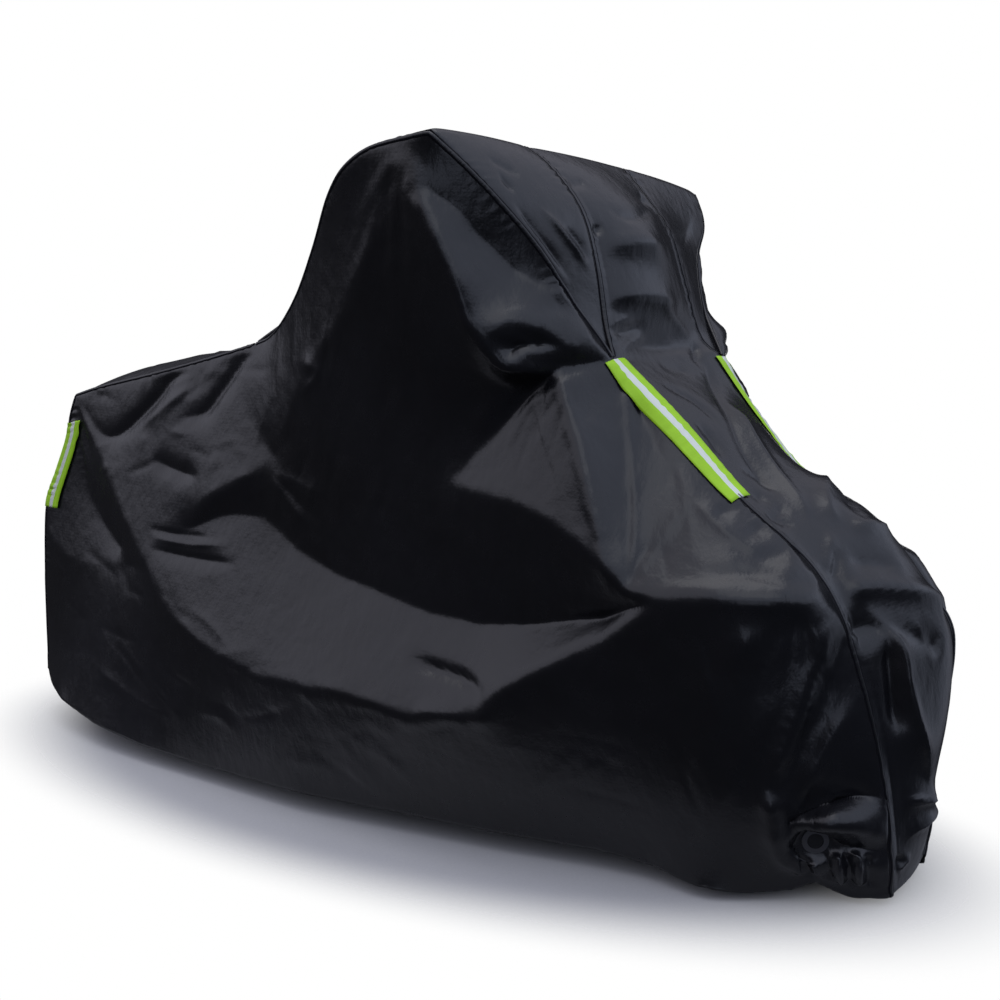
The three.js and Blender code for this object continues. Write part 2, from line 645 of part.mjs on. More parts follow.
// the seams of the middle strip start and end on the side seams
function stripSeam(rows, side) {
  const seam = stretches(rows, ['rise', 'fall']);
  const line = joined(seam.rise, seam.fall);
  line[0] = side.rise[0];
  line[line.length - 1] = side.front[0];
  return line;
}
const innerRight = stripSeam(STRIP_SEAM_RIGHT, right);
const innerLeft = stripSeam(STRIP_SEAM_LEFT, left);

const hemLeft = HEM.map(toLeft);
const turned = (fold) => asLine(fold.x.map((x, k) => toLeft({ x, y: -fold.out[k], z: fold.z[k] })));
const foldsRight = [...FOLDS, ...RIGHT_FOLDS, asLine(REAR_EDGE)];
const foldsLeft = [...FOLDS.map(turned), ...LEFT_FOLDS, asLine(REAR_EDGE)];

const topSeam = (side) => joined(side.seat, side.rise, side.fall, side.front);
const sideRight = sideGrid(topSeam(right), right.foot, HEM, foldsRight, -1);
const sideLeft = sideGrid(topSeam(left), left.foot, hemLeft, foldsLeft, 1);
const places = joined(...PARTS.map((part, n) => even(right[part].length - 1).map((share) => n + share)));
const strip = stripGrid(joined(right.seat, innerRight, right.front, right.foot),
  joined(left.seat, innerLeft, left.front, left.foot), places);
// the tail panel hangs from the cross seam between the rear edges of the side panels
const behind = new THREE.Vector3(-TAIL_CROWN, 0, 0);
const tailRow = (rightEdge, leftEdge) =>
  across(rightEdge, leftEdge, CELLS.strip, behind, { edgeRow: SEAM_ROW });
const tail = sideRight[0].map((edge, j) => (j === 0 ? strip[0] : tailRow(edge, sideLeft[0][j])));

const inCorner = (i, j) => i >= LOCK_CORNER.fromColumn && j >= LOCK_CORNER.fromRow;
const columns = sideRight.length - 2;
const panels = {
  side_panel_right: cellTriangles(sideRight, (i, j) => !inCorner(i, j)),
  side_panel_left: cellTriangles(reversed(sideLeft), (i, j) => !inCorner(columns - i, j)),
  lock_corner_right: cellTriangles(sideRight, inCorner),
  lock_corner_left: cellTriangles(reversed(sideLeft), (i, j) => inCorner(columns - i, j)),
  middle_strip: cellTriangles(reversed(strip)),
  gusset_right: cellTriangles(reversed(gussetGrid(lensRight, innerRight, true))),
  gusset_left: cellTriangles(reversed(gussetGrid(lensLeft, innerLeft, false))),
  tail_panel: cellTriangles(tail),
};
for (const triangles of Object.values(panels)) survey(triangles);

for (const [name, triangles] of Object.entries(panels)) {
  let geometry = closedSheet(triangles, -CLOTH, 0);
  if (name.startsWith('lock_corner')) {
    const place = eyeletPlace(name.endsWith('right') ? -1 : 1);
    geometry = toGeometry(toSolid(geometry).subtract(toSolid(eyeletCutter(place))));
  }
  addPiece(name, geometry, CLOTH_LOOK);
}

for (const [name, side] of [['lock_eyelet_right', -1], ['lock_eyelet_left', 1]]) {
  const place = eyeletPlace(side);
  const ring = addPiece(name, eyeletRing(), METAL_LOOK);
  ring.position.copy(place.middle);
  ring.quaternion.setFromUnitVectors(new THREE.Vector3(0, 1, 0), place.out);
}

// a tape over a side seam covers the row of cells on each side of it
const beforeFront = CELLS.seat + CELLS.rise + CELLS.fall;
function frontTape(side, stripColumn) {
  const rows = [];
  for (let k = FRONT_TAPE.from; k <= FRONT_TAPE.to; k++) {
    const column = side[beforeFront + k];
    rows.push([column[1], column[0], strip[beforeFront + k][stripColumn]]);
  }
  return rows;
}

// a tape beside the rear edge lies on the first column of cells
const rearTape = (side) => [0, 1].map((i) => side[i].slice(REAR_TAPE.from, REAR_TAPE.to + 1));

const tapes = {
  tape_front_right: cellTriangles(reversed(frontTape(sideRight, 1))),
  tape_front_left: cellTriangles(frontTape(sideLeft, CELLS.strip - 1)),
  tape_rear_right: cellTriangles(rearTape(sideRight)),
  tape_rear_left: cellTriangles(reversed(rearTape(sideLeft))),
};
for (const [name, triangles] of Object.entries(tapes)) {
  addPiece(name, closedSheet(triangles, TAPE_LIFT, TAPE_LIFT + TAPE_THICKNESS), TAPE_LOOK);
}

cover.position.copy(HANDLEBAR_REST).negate();

const object = new THREE.Group();
object.add(cover);
export default object;
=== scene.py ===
# %% [markdown]
# # A fitted motorcycle cover
# The cover is a thin coated cloth, cut into a few panels, sewn together, and pulled over a
# parked motorcycle. The motorcycle is not here, but its handlebar, seat, footrests and wheels
# show through the cloth as high points that the cloth is stretched between.
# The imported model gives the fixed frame: its origin is where the handlebar carries the cover,
# +X points to the front wheel, +Y to the rider's left and +Z up.

# %% Load the frame
import math

import bpy
import numpy as np
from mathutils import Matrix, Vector


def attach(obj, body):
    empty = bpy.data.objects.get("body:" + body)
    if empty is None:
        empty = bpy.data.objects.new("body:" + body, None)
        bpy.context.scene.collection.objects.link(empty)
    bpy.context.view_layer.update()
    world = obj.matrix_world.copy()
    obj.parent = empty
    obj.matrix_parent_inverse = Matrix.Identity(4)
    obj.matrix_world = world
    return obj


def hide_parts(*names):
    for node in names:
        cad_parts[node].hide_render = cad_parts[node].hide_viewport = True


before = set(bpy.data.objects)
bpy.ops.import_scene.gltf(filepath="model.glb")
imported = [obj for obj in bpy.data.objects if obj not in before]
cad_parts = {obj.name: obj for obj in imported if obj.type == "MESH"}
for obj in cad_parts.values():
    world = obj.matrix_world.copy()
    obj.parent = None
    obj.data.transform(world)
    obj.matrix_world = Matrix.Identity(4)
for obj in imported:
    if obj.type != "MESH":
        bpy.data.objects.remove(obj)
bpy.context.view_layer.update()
MM = 0.001

# %% [markdown]
# ## Camera
# The camera stands low at the right front of the motorcycle and looks slightly down, with a
# normal 50 mm lens.

# %% Camera
CAMERA_PLACE = (1.438, -2.340, -0.242)
CAMERA_PITCH = 8.5
CAMERA_AZIMUTH = 34.5

camera_data = bpy.data.cameras.new("camera")
camera_data.lens = 50
camera_data.sensor_width = 36
camera = bpy.data.objects.new("camera", camera_data)
camera.location = CAMERA_PLACE
camera.rotation_euler = (math.radians(90 - CAMERA_PITCH), 0, math.radians(CAMERA_AZIMUTH))
bpy.context.scene.collection.objects.link(camera)
bpy.context.scene.camera = camera
print("camera at", CAMERA_PLACE)

# %% [markdown]
# ## The lines that the cloth is sewn and folded along
# All places are in millimetres, from a point on the ground under the seat, because a maker
# measures a cover that way. They are moved to the frame's origin when a mesh is made.
# A seam is a smooth line through a few places. The side seam has five stretches: along the
# seat, the rise behind the handlebar, the fall ahead of it, the front, and the foot at the
# front wheel. `hem` is the x of the hem point that hangs below a seam point.
#
# Many places in these tables are what a measuring program printed. A lesson should not copy
# that: a few places that a maker can name read better.

# %% The side seams
HANDLEBAR_REST = np.array([262.0, 0.0, 1292.0])
PARTS = ("seat", "rise", "fall", "front", "foot")


def table(columns, *rows):
    """Rows with named columns."""
    return [dict(zip(columns.split(), row)) for row in rows]


SIDE_SEAM = table("part x y z hem",
    ("seat", -1063, -134, 803, -1198),
    ("seat", -962, -150, 826, -1105),
    ("seat", -762, -170, 863, -880),
    ("seat", -582, -185, 899, -670),
    ("rise", -396, -200, 940, -470),
    ("rise", -341, -208, 956, -410),
    ("rise", -236, -250, 1026, -300),
    ("rise", -130, -305, 1130, -215),
    ("rise", -39, -360, 1228, -140),
    ("rise", 35, -400, 1275, -70),
    ("rise", 101, -415, 1300, 0),
    ("rise", 187, -425, 1312, 80),
    ("fall", 237, -420, 1320, 140),
    ("fall", 298, -360, 1240, 220),
    ("fall", 369, -280, 1123, 300),
    ("fall", 403, -235, 1037, 355),
    ("front", 459, -179, 929, 430),
    ("front", 590, -170, 812, 545),
    ("front", 706, -167, 698, 640),
    ("front", 798, -166, 629, 720),
    ("front", 852, -164, 575, 780),
    ("front", 897, -158, 495, 830),
    ("front", 923, -150, 411, 865),
    ("front", 947, -135, 308, 915),
    ("foot", 962, -115, 200, 968),
    ("foot", 970, -98, 85, 968),
    ("foot", 968, -84, 22, 968))

LEFT_SEAM = table("part x y z hem",
    ("fall", 306, 436, 1257, 140),
    ("fall", 331, 424, 1203, 220),
    ("fall", 352, 350, 1128, 290),
    ("fall", 396, 284, 1034, 345),
    ("front", 500, 172, 922, 430),
    ("front", 588, 170, 806, 545),
    ("front", 690, 167, 694, 640),
    ("front", 788, 164, 652, 720),
    ("front", 862, 162, 588, 780),
    ("front", 936, 155, 506, 830),
    ("front", 981, 145, 446, 865),
    ("front", 978, 137, 308, 915),
    ("foot", 966, 120, 200, 968),
    ("foot", 972, 100, 90, 968),
    ("foot", 968, 84, 38, 968))

# %% The seams of the middle strip, the hem and the rear edge
STRIP_SEAM_RIGHT = table("part x y z",
    ("rise", -396, -200, 940),
    ("rise", -250, -190, 1028),
    ("rise", -90, -178, 1165),
    ("rise", 30, -168, 1252),
    ("rise", 150, -162, 1298),
    ("fall", 258, -159, 1309),
    ("fall", 300, -155, 1280),
    ("fall", 370, -150, 1197),
    ("fall", 408, -155, 1092),
    ("fall", 436, -168, 985),
    ("front", 459, -179, 929))
STRIP_SEAM_LEFT = table("part x y z",
    ("rise", -396, 200, 940),
    ("rise", -245, 192, 1026),
    ("rise", -85, 180, 1155),
    ("rise", 40, 170, 1234),
    ("rise", 160, 165, 1278),
    ("fall", 284, 162, 1290),
    ("fall", 348, 155, 1222),
    ("fall", 396, 150, 1162),
    ("fall", 425, 156, 1070),
    ("fall", 462, 166, 955),
    ("front", 502, 171, 924))
HEM = table("x y z",
    (-1198, -146, 100),
    (-1105, -207, 85),
    (-1022, -246, 70),
    (-845, -288, 50),
    (-670, -307, 40),
    (-480, -317, 40),
    (-164, -335, 45),
    (70, -313, 50),
    (290, -286, 50),
    (482, -246, 50),
    (590, -232, 40),
    (699, -245, 20),
    (760, -203, 20),
    (818, -165, 28),
    (856, -145, 48),
    (882, -128, 32),
    (908, -116, 20),
    (968, -84, 22))
REAR_EDGE = table("x y z",
    (-1063, -134, 803),
    (-1084, -136, 752),
    (-1096, -137, 701),
    (-1138, -140, 614),
    (-1178, -143, 536),
    (-1190, -148, 382),
    (-1195, -148, 227),
    (-1198, -146, 100))

# %% The left side follows the right, with the handlebar and the front wheel turned
BAR_TURN = {"forward": 80, "down": -66, "from_z": 600, "to_z": 1300, "from_x": -396, "to_x": 0}
WHEEL_TURN = {"forward": 72, "z": 455, "spread": 105, "from_x": 700, "to_x": 880}


def smooth_step(value, low, high):
    t = np.clip((np.asarray(value, float) - low) / (high - low), 0, 1)
    return t * t * (3 - 2 * t)


def to_left(x, y, z):
    """The left-hand twin of a place on the right."""
    high = smooth_step(z, BAR_TURN["from_z"], BAR_TURN["to_z"])
    turn = high * smooth_step(x, BAR_TURN["from_x"], BAR_TURN["to_x"])
    wheel = np.exp(-(((z - WHEEL_TURN["z"]) / WHEEL_TURN["spread"]) ** 2))
    wheel = wheel * smooth_step(x, WHEEL_TURN["from_x"], WHEEL_TURN["to_x"])
    forward = BAR_TURN["forward"] * turn + WHEEL_TURN["forward"] * wheel
    return x + forward, -y, z + BAR_TURN["down"] * turn * turn


def left_rows(rows):
    twins = []
    for row in rows:
        x, y, z = to_left(row["x"], row["y"], row["z"])
        twins.append({**row, "x": float(x), "y": float(y), "z": float(z)})
    return twins


left_seam_rows = left_rows(SIDE_SEAM)[:-len(LEFT_SEAM)] + LEFT_SEAM
left_hem_rows = left_rows(HEM)
left_rear_rows = left_rows(REAR_EDGE)
print("side seam rows", len(SIDE_SEAM), "right,", len(left_seam_rows), "left")

# %% [markdown]
# ## Smooth lines
# A sewn seam has no corners, so a table of places becomes a centripetal Catmull-Rom curve,
# cut at even shares of its length.

# %% Curves through table rows
FINE_STEPS = 16  # steps between two rows of a table


def catmull_rom(places):
    """Many points on a centripetal Catmull-Rom curve through the places."""
    places = np.asarray(places, float)
    first = 2 * places[0] - places[1]
    last = 2 * places[-1] - places[-2]
    ring = np.vstack([first, places, last])
    shares = np.linspace(0, 1, FINE_STEPS, endpoint=False)[:, None]
    line = []
    for k in range(len(places) - 1):
        p0, p1, p2, p3 = ring[k:k + 4]
        t1 = max(np.linalg.norm(p1 - p0), 1e-4) ** 0.5
        t2 = t1 + max(np.linalg.norm(p2 - p1), 1e-4) ** 0.5
        t3 = t2 + max(np.linalg.norm(p3 - p2), 1e-4) ** 0.5
        t = t1 + (t2 - t1) * shares
        a1 = (t1 - t) / t1 * p0 + t / t1 * p1
        a2 = (t2 - t) / (t2 - t1) * p1 + (t - t1) / (t2 - t1) * p2
        a3 = (t3 - t) / (t3 - t2) * p2 + (t - t2) / (t3 - t2) * p3
        b1 = (t2 - t) / t2 * a1 + t / t2 * a2
        b2 = (t3 - t) / (t3 - t1) * a2 + (t - t1) / (t3 - t1) * a3
        line.append((t2 - t) / (t2 - t1) * b1 + (t - t1) / (t2 - t1) * b2)
    return np.vstack([*line, places[-1:]])


def run_of(points):
    """The length along a line, at each of its points."""
    steps = np.linalg.norm(np.diff(points, axis=0), axis=1)
    return np.concatenate([[0.0], np.cumsum(steps)])


def places_of(rows, *names):
    return np.array([[row[name] for name in names] for row in rows], float)


def cut_line(rows, shares):
    """x, y, z and hem of points on the smooth line, at shares of its length."""
    places = places_of(rows, "x", "y", "z")
    points = catmull_rom(places)
    run = run_of(points)
    goals = np.asarray(shares) * run[-1]
    cut = np.stack([np.interp(goals, run, points[:, k]) for k in range(3)], axis=1)
    row_runs = run[::FINE_STEPS]
    hem = np.interp(goals, row_runs, [row.get("hem", 0) for row in rows])
    return np.column_stack([cut, hem])


def stretch_rows(rows, part):
    """The rows of one stretch, up to the first row of the next."""
    named = [k for k, row in enumerate(rows) if row["part"] == part]
    return rows[named[0]:min(named[-1] + 2, len(rows))]


# %% [markdown]
# ## The skin
# Seen from the side, each big panel is a skin whose distance out from the middle of the
# motorcycle is known along the folds: the crest that the footrests lift, the ridge under
# each bar end, the knee corner beside the tank. Between the folds the cloth is taut, so the
# distance there is relaxed until each place is the mean of its neighbours, as a soap film is.
#
# The places along the folds were printed by a measuring program too. How far each fold
# stands out was chosen.

# %% Fold lines of a side panel: x, distance out, z
FOLDS = {
    "ridge below the bar end": [(192, 423, 1302), (202, 425, 1265), (213, 429, 1226),
                                (250, 425, 1151), (284, 412, 1068), (301, 398, 1002),
                                (322, 390, 970), (349, 365, 923)],
    "valley ahead of the bar end": [(213, 429, 1226), (243, 396, 1210), (274, 368, 1178),
                                    (297, 338, 1135), (330, 306, 1090), (367, 281, 1059),
                                    (407, 258, 1040), (435, 212, 990), (459, 179, 929)],
    "junction folds, first dip": [(322, 390, 970), (347, 372, 1002), (392, 318, 991),
                                  (443, 226, 962), (459, 179, 929)],
    "junction folds, first hollow": [(322, 390, 970), (336, 364, 957), (349, 334, 950),
                                     (388, 292, 956), (440, 220, 957), (459, 179, 929)],
    "junction folds, middle ridge": [(349, 365, 923), (361, 352, 944), (394, 318, 952),
                                     (423, 283, 955), (446, 206, 948), (459, 179, 929)],
    "junction folds, second hollow": [(349, 365, 923), (360, 344, 933), (388, 312, 939),
                                      (416, 272, 939), (439, 218, 939), (459, 179, 929)],
    "edge over the knee": [(349, 365, 923), (381, 330, 921), (401, 280, 921), (429, 226, 927),
                           (459, 179, 929)],
    "knee fold": [(401, 280, 921), (334, 290, 852), (278, 303, 788), (208, 318, 706)],
    "engine guard lower edge": [(208, 318, 706), (276, 332, 695), (357, 342, 688),
                                (428, 350, 668), (507, 354, 629), (559, 354, 587),
                                (585, 352, 559)],
    "engine guard ridge": [(401, 280, 921), (436, 297, 857), (496, 330, 735), (554, 353, 588),
                           (585, 352, 559)],
    "engine guard front ridge": [(478, 182, 889), (516, 222, 800), (565, 286, 672),
                                 (584, 324, 605), (585, 352, 559)],
    "fold beside the tape": [(508, 178, 848), (576, 202, 769), (642, 226, 698),
                             (708, 236, 649), (762, 226, 618), (824, 184, 609),
                             (838, 164, 591)],
    "bright band": [(603, 298, 620), (690, 284, 607), (766, 254, 601), (833, 204, 590)],
    "crest ahead": [(585, 352, 559), (645, 342, 548), (712, 326, 555), (755, 312, 559),
                    (808, 286, 561), (852, 246, 559), (865, 228, 553)],
    "crest to the seam": [(865, 228, 553), (877, 161, 532)],
    "swag crest": [(645, 342, 548), (560, 353, 478), (484, 368, 432), (416, 380, 392),
                   (358, 388, 354), (318, 392, 301), (246, 391, 293), (159, 388, 271),
                   (69, 384, 282), (-34, 379, 287), (-138, 371, 282), (-251, 361, 278),
                   (-351, 346, 295), (-458, 328, 314), (-526, 312, 345), (-592, 296, 380),
                   (-662, 274, 433), (-735, 250, 492), (-826, 218, 575), (-913, 184, 659),
                   (-987, 158, 736), (-1054, 136, 796)],
    "valley above the swag": [(-566, 246, 538), (-456, 246, 581), (-378, 249, 591),
                              (-322, 254, 590), (-220, 268, 533), (-90, 280, 492),
                              (7, 289, 477), (147, 300, 450), (270, 302, 446), (366, 304, 459),
                              (534, 316, 495), (645, 342, 548)],
    "pillow edge": [(-392, 226, 830), (-357, 240, 776), (-320, 250, 743), (-287, 256, 717),
                    (-328, 262, 685), (-389, 265, 658), (-475, 264, 617), (-526, 258, 579),
                    (-566, 246, 538)],
    "back of the hump": [(188, 430, 1274), (129, 402, 1176), (55, 370, 1072), (-61, 330, 979),
                         (-177, 290, 879), (-287, 256, 717)],
    "dark groove at the rear": [(-1058, 136, 781), (-1034, 147, 671), (-995, 160, 578),
                                (-923, 178, 514), (-822, 206, 460)],
    "rear lower edge": [(-1165, 154, 462), (-1060, 182, 412), (-941, 204, 404),
                        (-855, 216, 420), (-757, 234, 432), (-662, 274, 433)],
    "pouch rear ridge": [(865, 228, 553), (876, 216, 487), (874, 216, 461), (850, 230, 401),
                         (823, 242, 305), (805, 248, 237), (807, 246, 204), (813, 226, 140),
                         (816, 190, 77)],
    "pouch hollow": [(884, 172, 479), (881, 186, 430), (865, 200, 379), (842, 214, 301),
                     (825, 222, 221)],
    "pouch middle ridge": [(920, 158, 395), (892, 188, 329), (857, 208, 250), (838, 210, 203),
                           (830, 205, 160)],
    "skirt behind the front wheel": [(782, 300, 491), (702, 292, 270), (631, 250, 79)],
    "flap top": [(827, 198, 165), (861, 184, 178), (895, 146, 198), (929, 126, 205),
                 (960, 116, 210)],
    "flap lip": [(827, 206, 153), (864, 218, 170), (896, 220, 180), (923, 194, 172),
                 (945, 156, 158), (966, 114, 136)],
    "recess": [(827, 184, 117), (902, 150, 127), (930, 128, 117), (964, 106, 112)],
    "gathered hem": [(832, 178, 91), (864, 172, 86), (902, 162, 84), (936, 140, 84),
                     (965, 104, 79)],
}
LEFT_FOLDS = {
    "cloth drawn from the low bar end": [(330, 394, 1080), (373, 362, 992),
                                         (443, 304, 922), (506, 282, 833)],
}
# the cloth that a lock eyelet clamps is flat: its middle, slopes and reach
EYELET_SEAT = {"x": 866, "z": 126, "out": 178, "slope_x": -0.6, "slope_z": 0.1,
               "flat": 28, "fade": 38}
print(len(FOLDS), "folds on both sides")

# %% Relax the skin between its folds
RASTER = {"x0": -1320.0, "z0": -48.0, "wide": 2400.0, "high": 1440.0}
RASTER_CELLS = (24.0, 12.0, 6.0)
RELAX_SWEEPS = 260
RELAX_PULL = 1.93
SKIN_ROUNDS = 2
START_OUT = 250.0


def neighbours(heights):
    """The mean of the four neighbours of each cell."""
    grown = np.pad(heights, 1, mode="reflect")
    return (grown[:-2, 1:-1] + grown[2:, 1:-1] + grown[1:-1, :-2] + grown[1:-1, 2:]) / 4


def spline_read(heights, cell, x, z):
    """Reads a raster with a cubic B-spline, so that the skin has no facets."""
    fx = np.clip((x - RASTER["x0"]) / cell, 1, heights.shape[1] - 3)
    fz = np.clip((z - RASTER["z0"]) / cell, 1, heights.shape[0] - 3)
    i, j = np.floor(fx).astype(int), np.floor(fz).astype(int)
    value = 0.0
    for dj, wz in enumerate(spline_weights(fz - j), start=-1):
        for di, wx in enumerate(spline_weights(fx - i), start=-1):
            value = value + wx * wz * heights[j + dj, i + di]
    return value


def spline_weights(t):
    return ((1 - t) ** 3 / 6, (3 * t ** 3 - 6 * t ** 2 + 4) / 6,
            (-3 * t ** 3 + 3 * t ** 2 + 3 * t + 1) / 6, t ** 3 / 6)


def stretch_skin(lines):
    """The distance out at any x and z, held at the lines (x, out, z) and taut between."""
    heights, coarse = None, None
    for cell in RASTER_CELLS:
        nx = int(RASTER["wide"] / cell) + 1
        nz = int(RASTER["high"] / cell) + 1
        total, count = np.zeros((nz, nx)), np.zeros((nz, nx))
        for line in lines:
            line = np.asarray(line, float)
            run = run_of(line[:, [0, 2]])
            dabs = np.linspace(0, run[-1], int(4 * run[-1] / cell) + 2)
            x, out, z = (np.interp(dabs, run, line[:, k]) for k in range(3))
            i = np.rint((x - RASTER["x0"]) / cell).astype(int)
            j = np.rint((z - RASTER["z0"]) / cell).astype(int)
            np.add.at(total, (j, i), out)
            np.add.at(count, (j, i), 1)
        held = count > 0
        if heights is None:
            heights = np.full((nz, nx), START_OUT)
        else:
            xs = RASTER["x0"] + cell * np.arange(nx)
            zs = RASTER["z0"] + cell * np.arange(nz)
            heights = spline_read(heights, coarse, *np.meshgrid(xs, zs))
        heights[held] = total[held] / count[held]
        checks = np.indices((nz, nx)).sum(axis=0) % 2
        for _ in range(RELAX_SWEEPS):
            for colour in (0, 1):
                free = (checks == colour) & ~held
                heights = heights + RELAX_PULL * free * (neighbours(heights) - heights)
        coarse = cell
    for _ in range(SKIN_ROUNDS):
        heights = (heights + neighbours(heights)) / 2
    return lambda x, z: spline_read(heights, coarse, x, z)


def with_eyelet_seat(skin):
    seat = EYELET_SEAT

    def read(x, z):
        dx, dz = x - seat["x"], z - seat["z"]
        share = smooth_step(np.hypot(dx, dz), seat["flat"], seat["fade"])
        flat = seat["out"] + seat["slope_x"] * dx + seat["slope_z"] * dz
        return flat + (skin(x, z) - flat) * share
    return read


# %% [markdown]
# ## Panels as fine grids
# Each panel is a grid of points. The cells follow the frame's own coarse cells, cut finer,
# so that tapes and seams land where the frame has them. The columns of a side panel run
# from the seam down to the hem.

# %% Grid of a side panel
TAPE_WIDTH = 52.0
SEAM_ROW = TAPE_WIDTH / 2
COARSE = {"seat": 10, "rise": 8, "fall": 7, "front": 11, "drop": 16, "strip": 6, "lens": 4}
FINER = {"seat": 6, "rise": 10, "fall": 9, "front": 10, "seam_row": 5, "drop": 10,
         "strip_edge": 8, "strip": 16, "lens": 14}
REAR_REACH = 4  # coarse columns over which the bend of the rear edge fades out
# the columns leave the seam square to it, and turn to the hem over a few coarse rows, or over
# a length where the rows are low; near the foot of the seam they don't leave it square
SQUARE_REACH = 4
SQUARE_LONG = 190.0
RUN_EVEN = 6  # fine columns over which the run of the seam is evened
FOOT_FADE = 46  # fine columns over which the square start fades out before the foot


def refined(shares, times):
    """Cuts each step between shares into as many even steps as `times` says."""
    parts = [np.linspace(a, b, n, endpoint=False)
             for a, b, n in zip(shares[:-1], shares[1:], times)]
    return np.concatenate([*parts, [shares[-1]]])


def drop_shares(long):
    first = min(SEAM_ROW / long, 2 / COARSE["drop"])
    coarse = np.concatenate([[0], np.linspace(first, 1, COARSE["drop"])])
    return refined(coarse, [FINER["seam_row"]] + [FINER["drop"]] * (COARSE["drop"] - 1))


def part_shares(rows, part):
    """Shares of a stretch of the seam at which the fine columns start."""
    if part == "foot":
        return drop_shares(rows[0]["z"] - rows[-1]["z"])
    if part == "seat":
        long = math.hypot(rows[0]["x"] - rows[-1]["x"], rows[0]["z"] - rows[-1]["z"])
        first = TAPE_WIDTH / long
        coarse = np.concatenate([[0], np.linspace(first, 1, COARSE["seat"])])
        return refined(coarse, [FINER["seat"]] * COARSE["seat"])
    return np.linspace(0, 1, COARSE[part] * FINER[part] + 1)


def seam_stretches(rows, parts=PARTS):
    lines = {}
    for part in parts:
        stretch = stretch_rows(rows, part)
        lines[part] = cut_line(stretch, part_shares(stretch, part))
    return lines


def joined(*lines):
    return np.vstack([lines[0]] + [line[1:] for line in lines[1:]])


def unit(vectors):
    return vectors / np.maximum(np.linalg.norm(vectors, axis=-1, keepdims=True), 1e-9)


def evened(vectors, half):
    """Vectors along a line, each evened with `half` others on both sides."""
    kernel = np.ones(2 * half + 1) / (2 * half + 1)
    return np.column_stack([np.convolve(np.pad(row, half, mode="edge"), kernel, "valid")
                            for row in vectors.T])


def side_grid(seam, foot, hem_rows, rear_rows, skin, side):
    """Points of a side panel: [column along the seam, row down to the hem, xyz]."""
    hem_places = places_of(hem_rows, "x", "y", "z")
    run = evened(unit(np.gradient(seam[:, [0, 2]], axis=0)), RUN_EVEN)
    to_foot = smooth_step(np.arange(len(seam))[::-1], 0, FOOT_FADE)
    columns = []
    for i, top in enumerate(seam[:-1]):
        low = np.array([top[3], np.interp(top[3], hem_places[:, 0], hem_places[:, 1]),
                        np.interp(top[3], hem_places[:, 0], hem_places[:, 2])])
        shares = drop_shares(math.hypot(top[0] - low[0], top[2] - low[2]))
        edge = cut_line(rear_rows, shares)[:, :3]
        bend = edge - (edge[0] + (edge[-1] - edge[0]) * shares[:, None])
        coarse_row = np.concatenate([
            np.linspace(0, 1, FINER["seam_row"] + 1)[:-1],
            np.linspace(1, COARSE["drop"], (COARSE["drop"] - 1) * FINER["drop"] + 1)])
        points = top[:3] + (low - top[:3]) * shares[:, None]
        points = points + bend * max(1 - i / FINER["seat"] / REAR_REACH, 0)
        down = unit((low - top[:3])[[0, 2]])
        across = unit(run[i])
        turn = np.array([across[1], -across[0]]) - down
        row_high = math.hypot(top[0] - low[0], top[2] - low[2]) / COARSE["drop"]
        reach = np.clip(SQUARE_LONG / row_high, SQUARE_REACH, COARSE["drop"] - 2)
        share = np.clip(1 - (coarse_row - 1) / reach, 0, 1) * np.clip(coarse_row, 0, 1)
        share = share * min(i / FINER["seat"], 1) * to_foot[i]
        points[:, 0] += SEAM_ROW * turn[0] * share
        points[:, 2] += SEAM_ROW * turn[1] * share
        points[1:-1, 1] = side * skin(points[1:-1, 0], points[1:-1, 2])
        points[-1] = low
        columns.append(points)
    columns.append(foot[:, :3])
    return np.array(columns)


right = seam_stretches(SIDE_SEAM)
left = seam_stretches(left_seam_rows)
top_right = joined(right["seat"], right["rise"], right["fall"], right["front"])
top_left = joined(left["seat"], left["rise"], left["fall"], left["front"])


def out_line(places):
    """x, distance out, z of places on either side."""
    places = np.asarray(places, float)
    return np.column_stack([places[:, 0], np.abs(places[:, 1]), places[:, 2]])


def turned_fold(fold):
    fold = np.asarray(fold, float)
    return out_line(np.column_stack(to_left(fold[:, 0], -fold[:, 1], fold[:, 2])))


def make_side(seam, foot, hem_rows, rear_rows, folds, side):
    """The grid of a side panel on the skin that its seam, hem, rear edge and folds hold."""
    held = [out_line(joined(seam, foot)), out_line(places_of(hem_rows, "x", "y", "z")),
            out_line(places_of(rear_rows, "x", "y", "z"))]
    skin = with_eyelet_seat(stretch_skin(held + folds))
    return side_grid(seam, foot, hem_rows, rear_rows, skin, side)


folds_right = [np.asarray(fold, float) for fold in FOLDS.values()]
folds_left = [turned_fold(fold) for fold in FOLDS.values()]
folds_left += [np.asarray(fold, float) for fold in LEFT_FOLDS.values()]
side_right = make_side(top_right, right["foot"], HEM, REAR_EDGE, folds_right, -1)
side_left = make_side(top_left, left["foot"], left_hem_rows, left_rear_rows, folds_left, 1)
print("side panel grids", side_right.shape, side_left.shape)

# %% [markdown]
# The middle strip runs from the tail over the seat and the handlebar down to the front hem.
# It stands out a little between its two seams, or sags where `crown` is below zero. `at`
# counts the stretches of the seam: 0 to 1 is the seat, 4 to 5 the foot. The gussets are the
# two long leaf-shaped pieces between the strip and the side panels, over the handlebar, and
# the tail panel closes the back.

